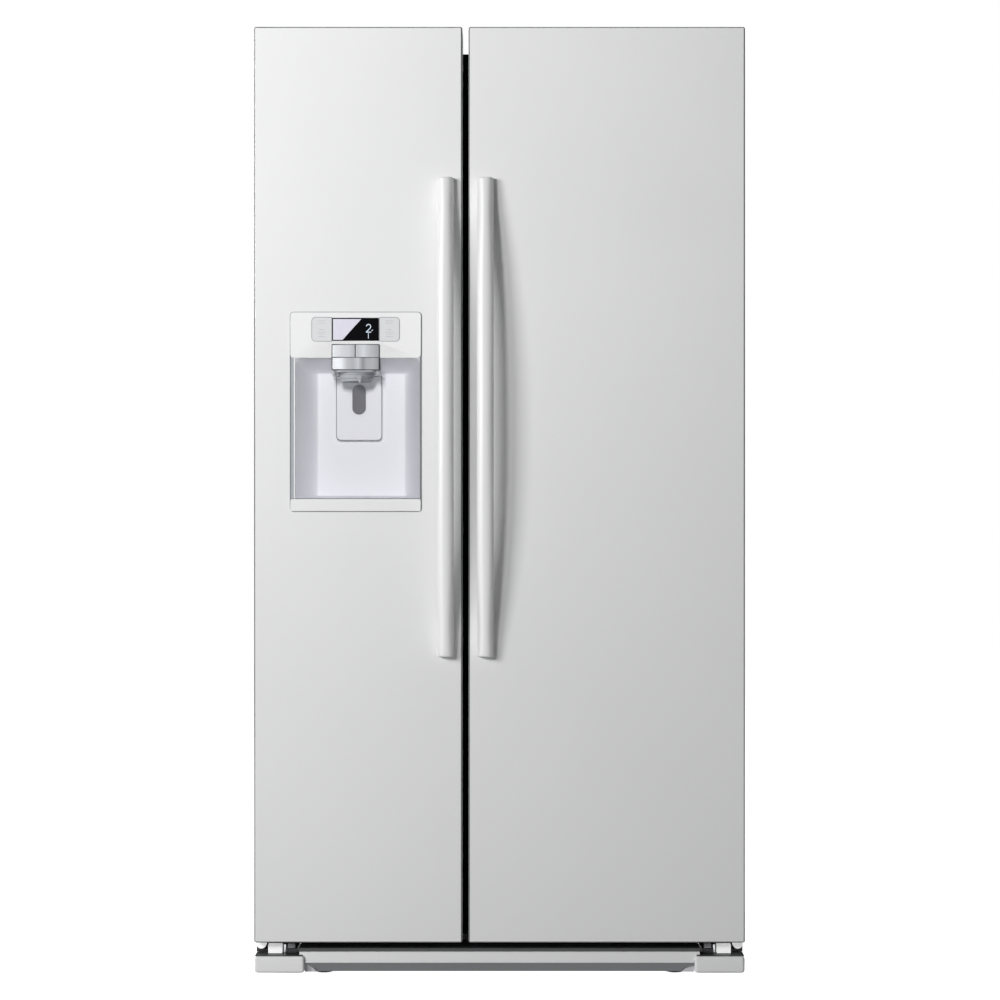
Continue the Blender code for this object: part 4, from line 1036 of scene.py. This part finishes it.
def tube(name, points, radius, body, material):
    """A bent tube through points, with round bends."""
    bm = bmesh.new()
    path = [Vector(p) for p in points]
    smooth = [path[0]]
    for before, corner, after in zip(path, path[1:], path[2:]):
        bend = min(0.018, (corner - before).length * 0.45, (after - corner).length * 0.45)
        first = corner + (before - corner).normalized() * bend
        last = corner + (after - corner).normalized() * bend
        for step in range(7):
            t = step / 6
            smooth.append(first * (1 - t) ** 2 + corner * 2 * t * (1 - t) + last * t * t)
    smooth.append(path[-1])
    rings, normal = [], None
    for i, point in enumerate(smooth):
        along = (smooth[min(i + 1, len(smooth) - 1)] - smooth[max(i - 1, 0)]).normalized()
        if normal is None:
            normal = along.orthogonal().normalized()
        normal = (normal - along * normal.dot(along)).normalized()
        side = along.cross(normal)
        rings.append([point + normal * x + side * y for x, y in circle((0, 0), radius, 12)])
    add_loft(bm, rings)
    return piece(name, to_mesh(bm), body, material)


def machine_parts():
    """Tubes, dryer, drain pan and condenser tubes round the compressor and condenser."""
    tube("discharge_tube", (
        (0.235, 0.262, 0.190), (0.235, 0.240, 0.190), (0.235, 0.240, 0.240), (0.020, 0.240, 0.240),
        (-0.060, 0.240, 0.240), (-0.060, 0.236, 0.130), (-0.162, 0.236, 0.130),
    ), 0.0030, "cabinet", "copper")
    tube("suction_tube", (
        (0.235, 0.404, 0.200), (0.235, 0.425, 0.200), (0.235, 0.425, 0.270), (0.050, 0.425, 0.270),
        (0.050, 0.425, 0.292),
    ), 0.0040, "cabinet", "copper")
    tube("dryer_tube",
         ((0.030, 0.400, 0.120), (0.030, 0.400, 0.150), (0.030, 0.400, 0.235), (0.030, 0.400, 0.290)),
         0.0016, "cabinet", "copper")
    piece("dryer", rod((0.030, 0.400, 0.100), (0.030, 0.400, 0.185), 0.0095), "cabinet", "copper",
          0.0030, 3)
    pan = tub((-0.410, 0.232, 0.0640), (-0.130, 0.428, 0.0800), 0.010, 0.0016, 0.003)
    piece("drain_pan", pan, "cabinet", "dark_grey", angle=40)
    bm = bmesh.new()
    for row in range(6):
        z = 0.126 + 0.0225 * row
        for y in (0.275, 0.385):
            add_rod(bm, (-0.398, y, z), (-0.163, y, z), 0.0034, None, 12)
    piece("condenser_tubes", to_mesh(bm), "cabinet", "black_steel")


machine_parts()


def wheel(node):
    """A roller: rounded tread, dished sides and an axle."""
    (x0, y0, z0), (x1, y1, z1) = extent(node)
    y, z, x = (y0 + y1) / 2, (z0 + z1) / 2, (x0 + x1) / 2
    profile = ((0.0040, -0.0190), (0.0040, -0.0100), (0.0130, -0.0095), (0.0150, -0.0130), (0.0180, -0.0135),
               (0.0196, -0.0120), (0.0200, -0.0095), (0.0200, 0.0095), (0.0196, 0.0120), (0.0180, 0.0135),
               (0.0150, 0.0130), (0.0130, 0.0095), (0.0040, 0.0100), (0.0040, 0.0190))
    rings = [[(x + across, a, b) for a, b in circle((y, z), radius, 40)] for radius, across in profile]
    piece(node + "_wheel", loft(rings), node, "dark_grey", 0.0003, covers=(node,))


def foot(node):
    """A levelling foot: rubber pad, hexagon and a threaded screw."""
    (x0, y0, _), (x1, y1, _) = extent(node)
    x, y = (x0 + x1) / 2, (y0 + y1) / 2
    profile = ((0.0160, 0.0), (0.0170, 0.0012), (0.0166, 0.0040), (0.0146, 0.0080), (0.0132, 0.0090))
    pad = [level(circle((x, y), radius, 36), z) for radius, z in profile]
    piece(node + "_pad", loft(pad), node, "dark_rubber", 0.0003, covers=(node,))
    nut = prism(circle((x, y), 0.0085, 6), "Z", 0.0088, 0.0150)
    piece(node + "_nut", nut, node, "zinc", 0.0006)
    rings = []
    for step in range(73):
        z = 0.0145 + 0.00063 * step
        wide, narrow = circle((x, y), 0.0046, 12), circle((x, y), 0.0040, 12)
        ring = wide[:6] + narrow[6:] if step % 2 else narrow[:6] + wide[6:]
        rings.append(level(ring, z))
    piece(node + "_screw", loft(rings), node, "zinc")


for side in ("left", "right"):
    wheel("roller_front_" + side)
    wheel("roller_rear_" + side)
    foot("levelling_foot_" + side)


# --- back and top -----------------------------------------------------------------------------------

def back_details():
    """Pressed beads and screws on the back."""
    (x0, _, z0), (x1, y, z1) = extent("back_panel")
    bm = bmesh.new()
    for left, right in ((x0 + 0.045, -0.030), (0.030, x1 - 0.045)):
        for low, high in ((z0 + 0.060, 1.000), (1.060, z1 - 0.060)):
            rings = [upright(rounded((left + i, low + i), (right - i, high - i), 0.030 - i, 6), y + d)
                     for i, d in ((0.0, -0.0002), (0.003, 0.0018), (0.009, 0.0018), (0.012, -0.0002))]
            rings.append(rings[0])
            add_loft(bm, rings, close=False)
    piece("back_beads", to_mesh(bm), "cabinet", "zinc")
    bm = bmesh.new()
    for x in (x0 + 0.014, -0.200, 0.0, 0.200, x1 - 0.014):
        for z in (z0 + 0.014, z1 - 0.014):
            screw_head(bm, (x, y, z), (0, 1, 0), 0.0042, 0.0014)
    for z in (0.60, 0.90, 1.20, 1.50):
        for x in (x0 + 0.014, x1 - 0.014):
            screw_head(bm, (x, y, z), (0, 1, 0), 0.0042, 0.0014)
    (mx0, _, mz0), (mx1, my, mz1) = extent("machine_cover")
    for x in (mx0 + 0.012, -0.150, 0.150, mx1 - 0.012):
        for z in (mz0 + 0.012, mz1 - 0.010):
            screw_head(bm, (x, my, z), (0, 1, 0), 0.0042, 0.0010)
    piece("back_screws", to_mesh(bm), "cabinet", "zinc")


back_details()


def top_details():
    """Screws of the top hinges and their covers."""
    bm = bmesh.new()
    for sign in (-1, 1):
        for x, y in ((sign * 0.425, -0.200), (sign * 0.385, -0.200)):
            screw_head(bm, (x, y, 1.7524), (0, 0, 1), 0.0050, 0.0030)
        screw_head(bm, (sign * 0.405, -0.235, 1.7764), (0, 0, 1), 0.0040, 0.0018)
    piece("hinge_screws", to_mesh(bm), "cabinet", "zinc")


top_details()
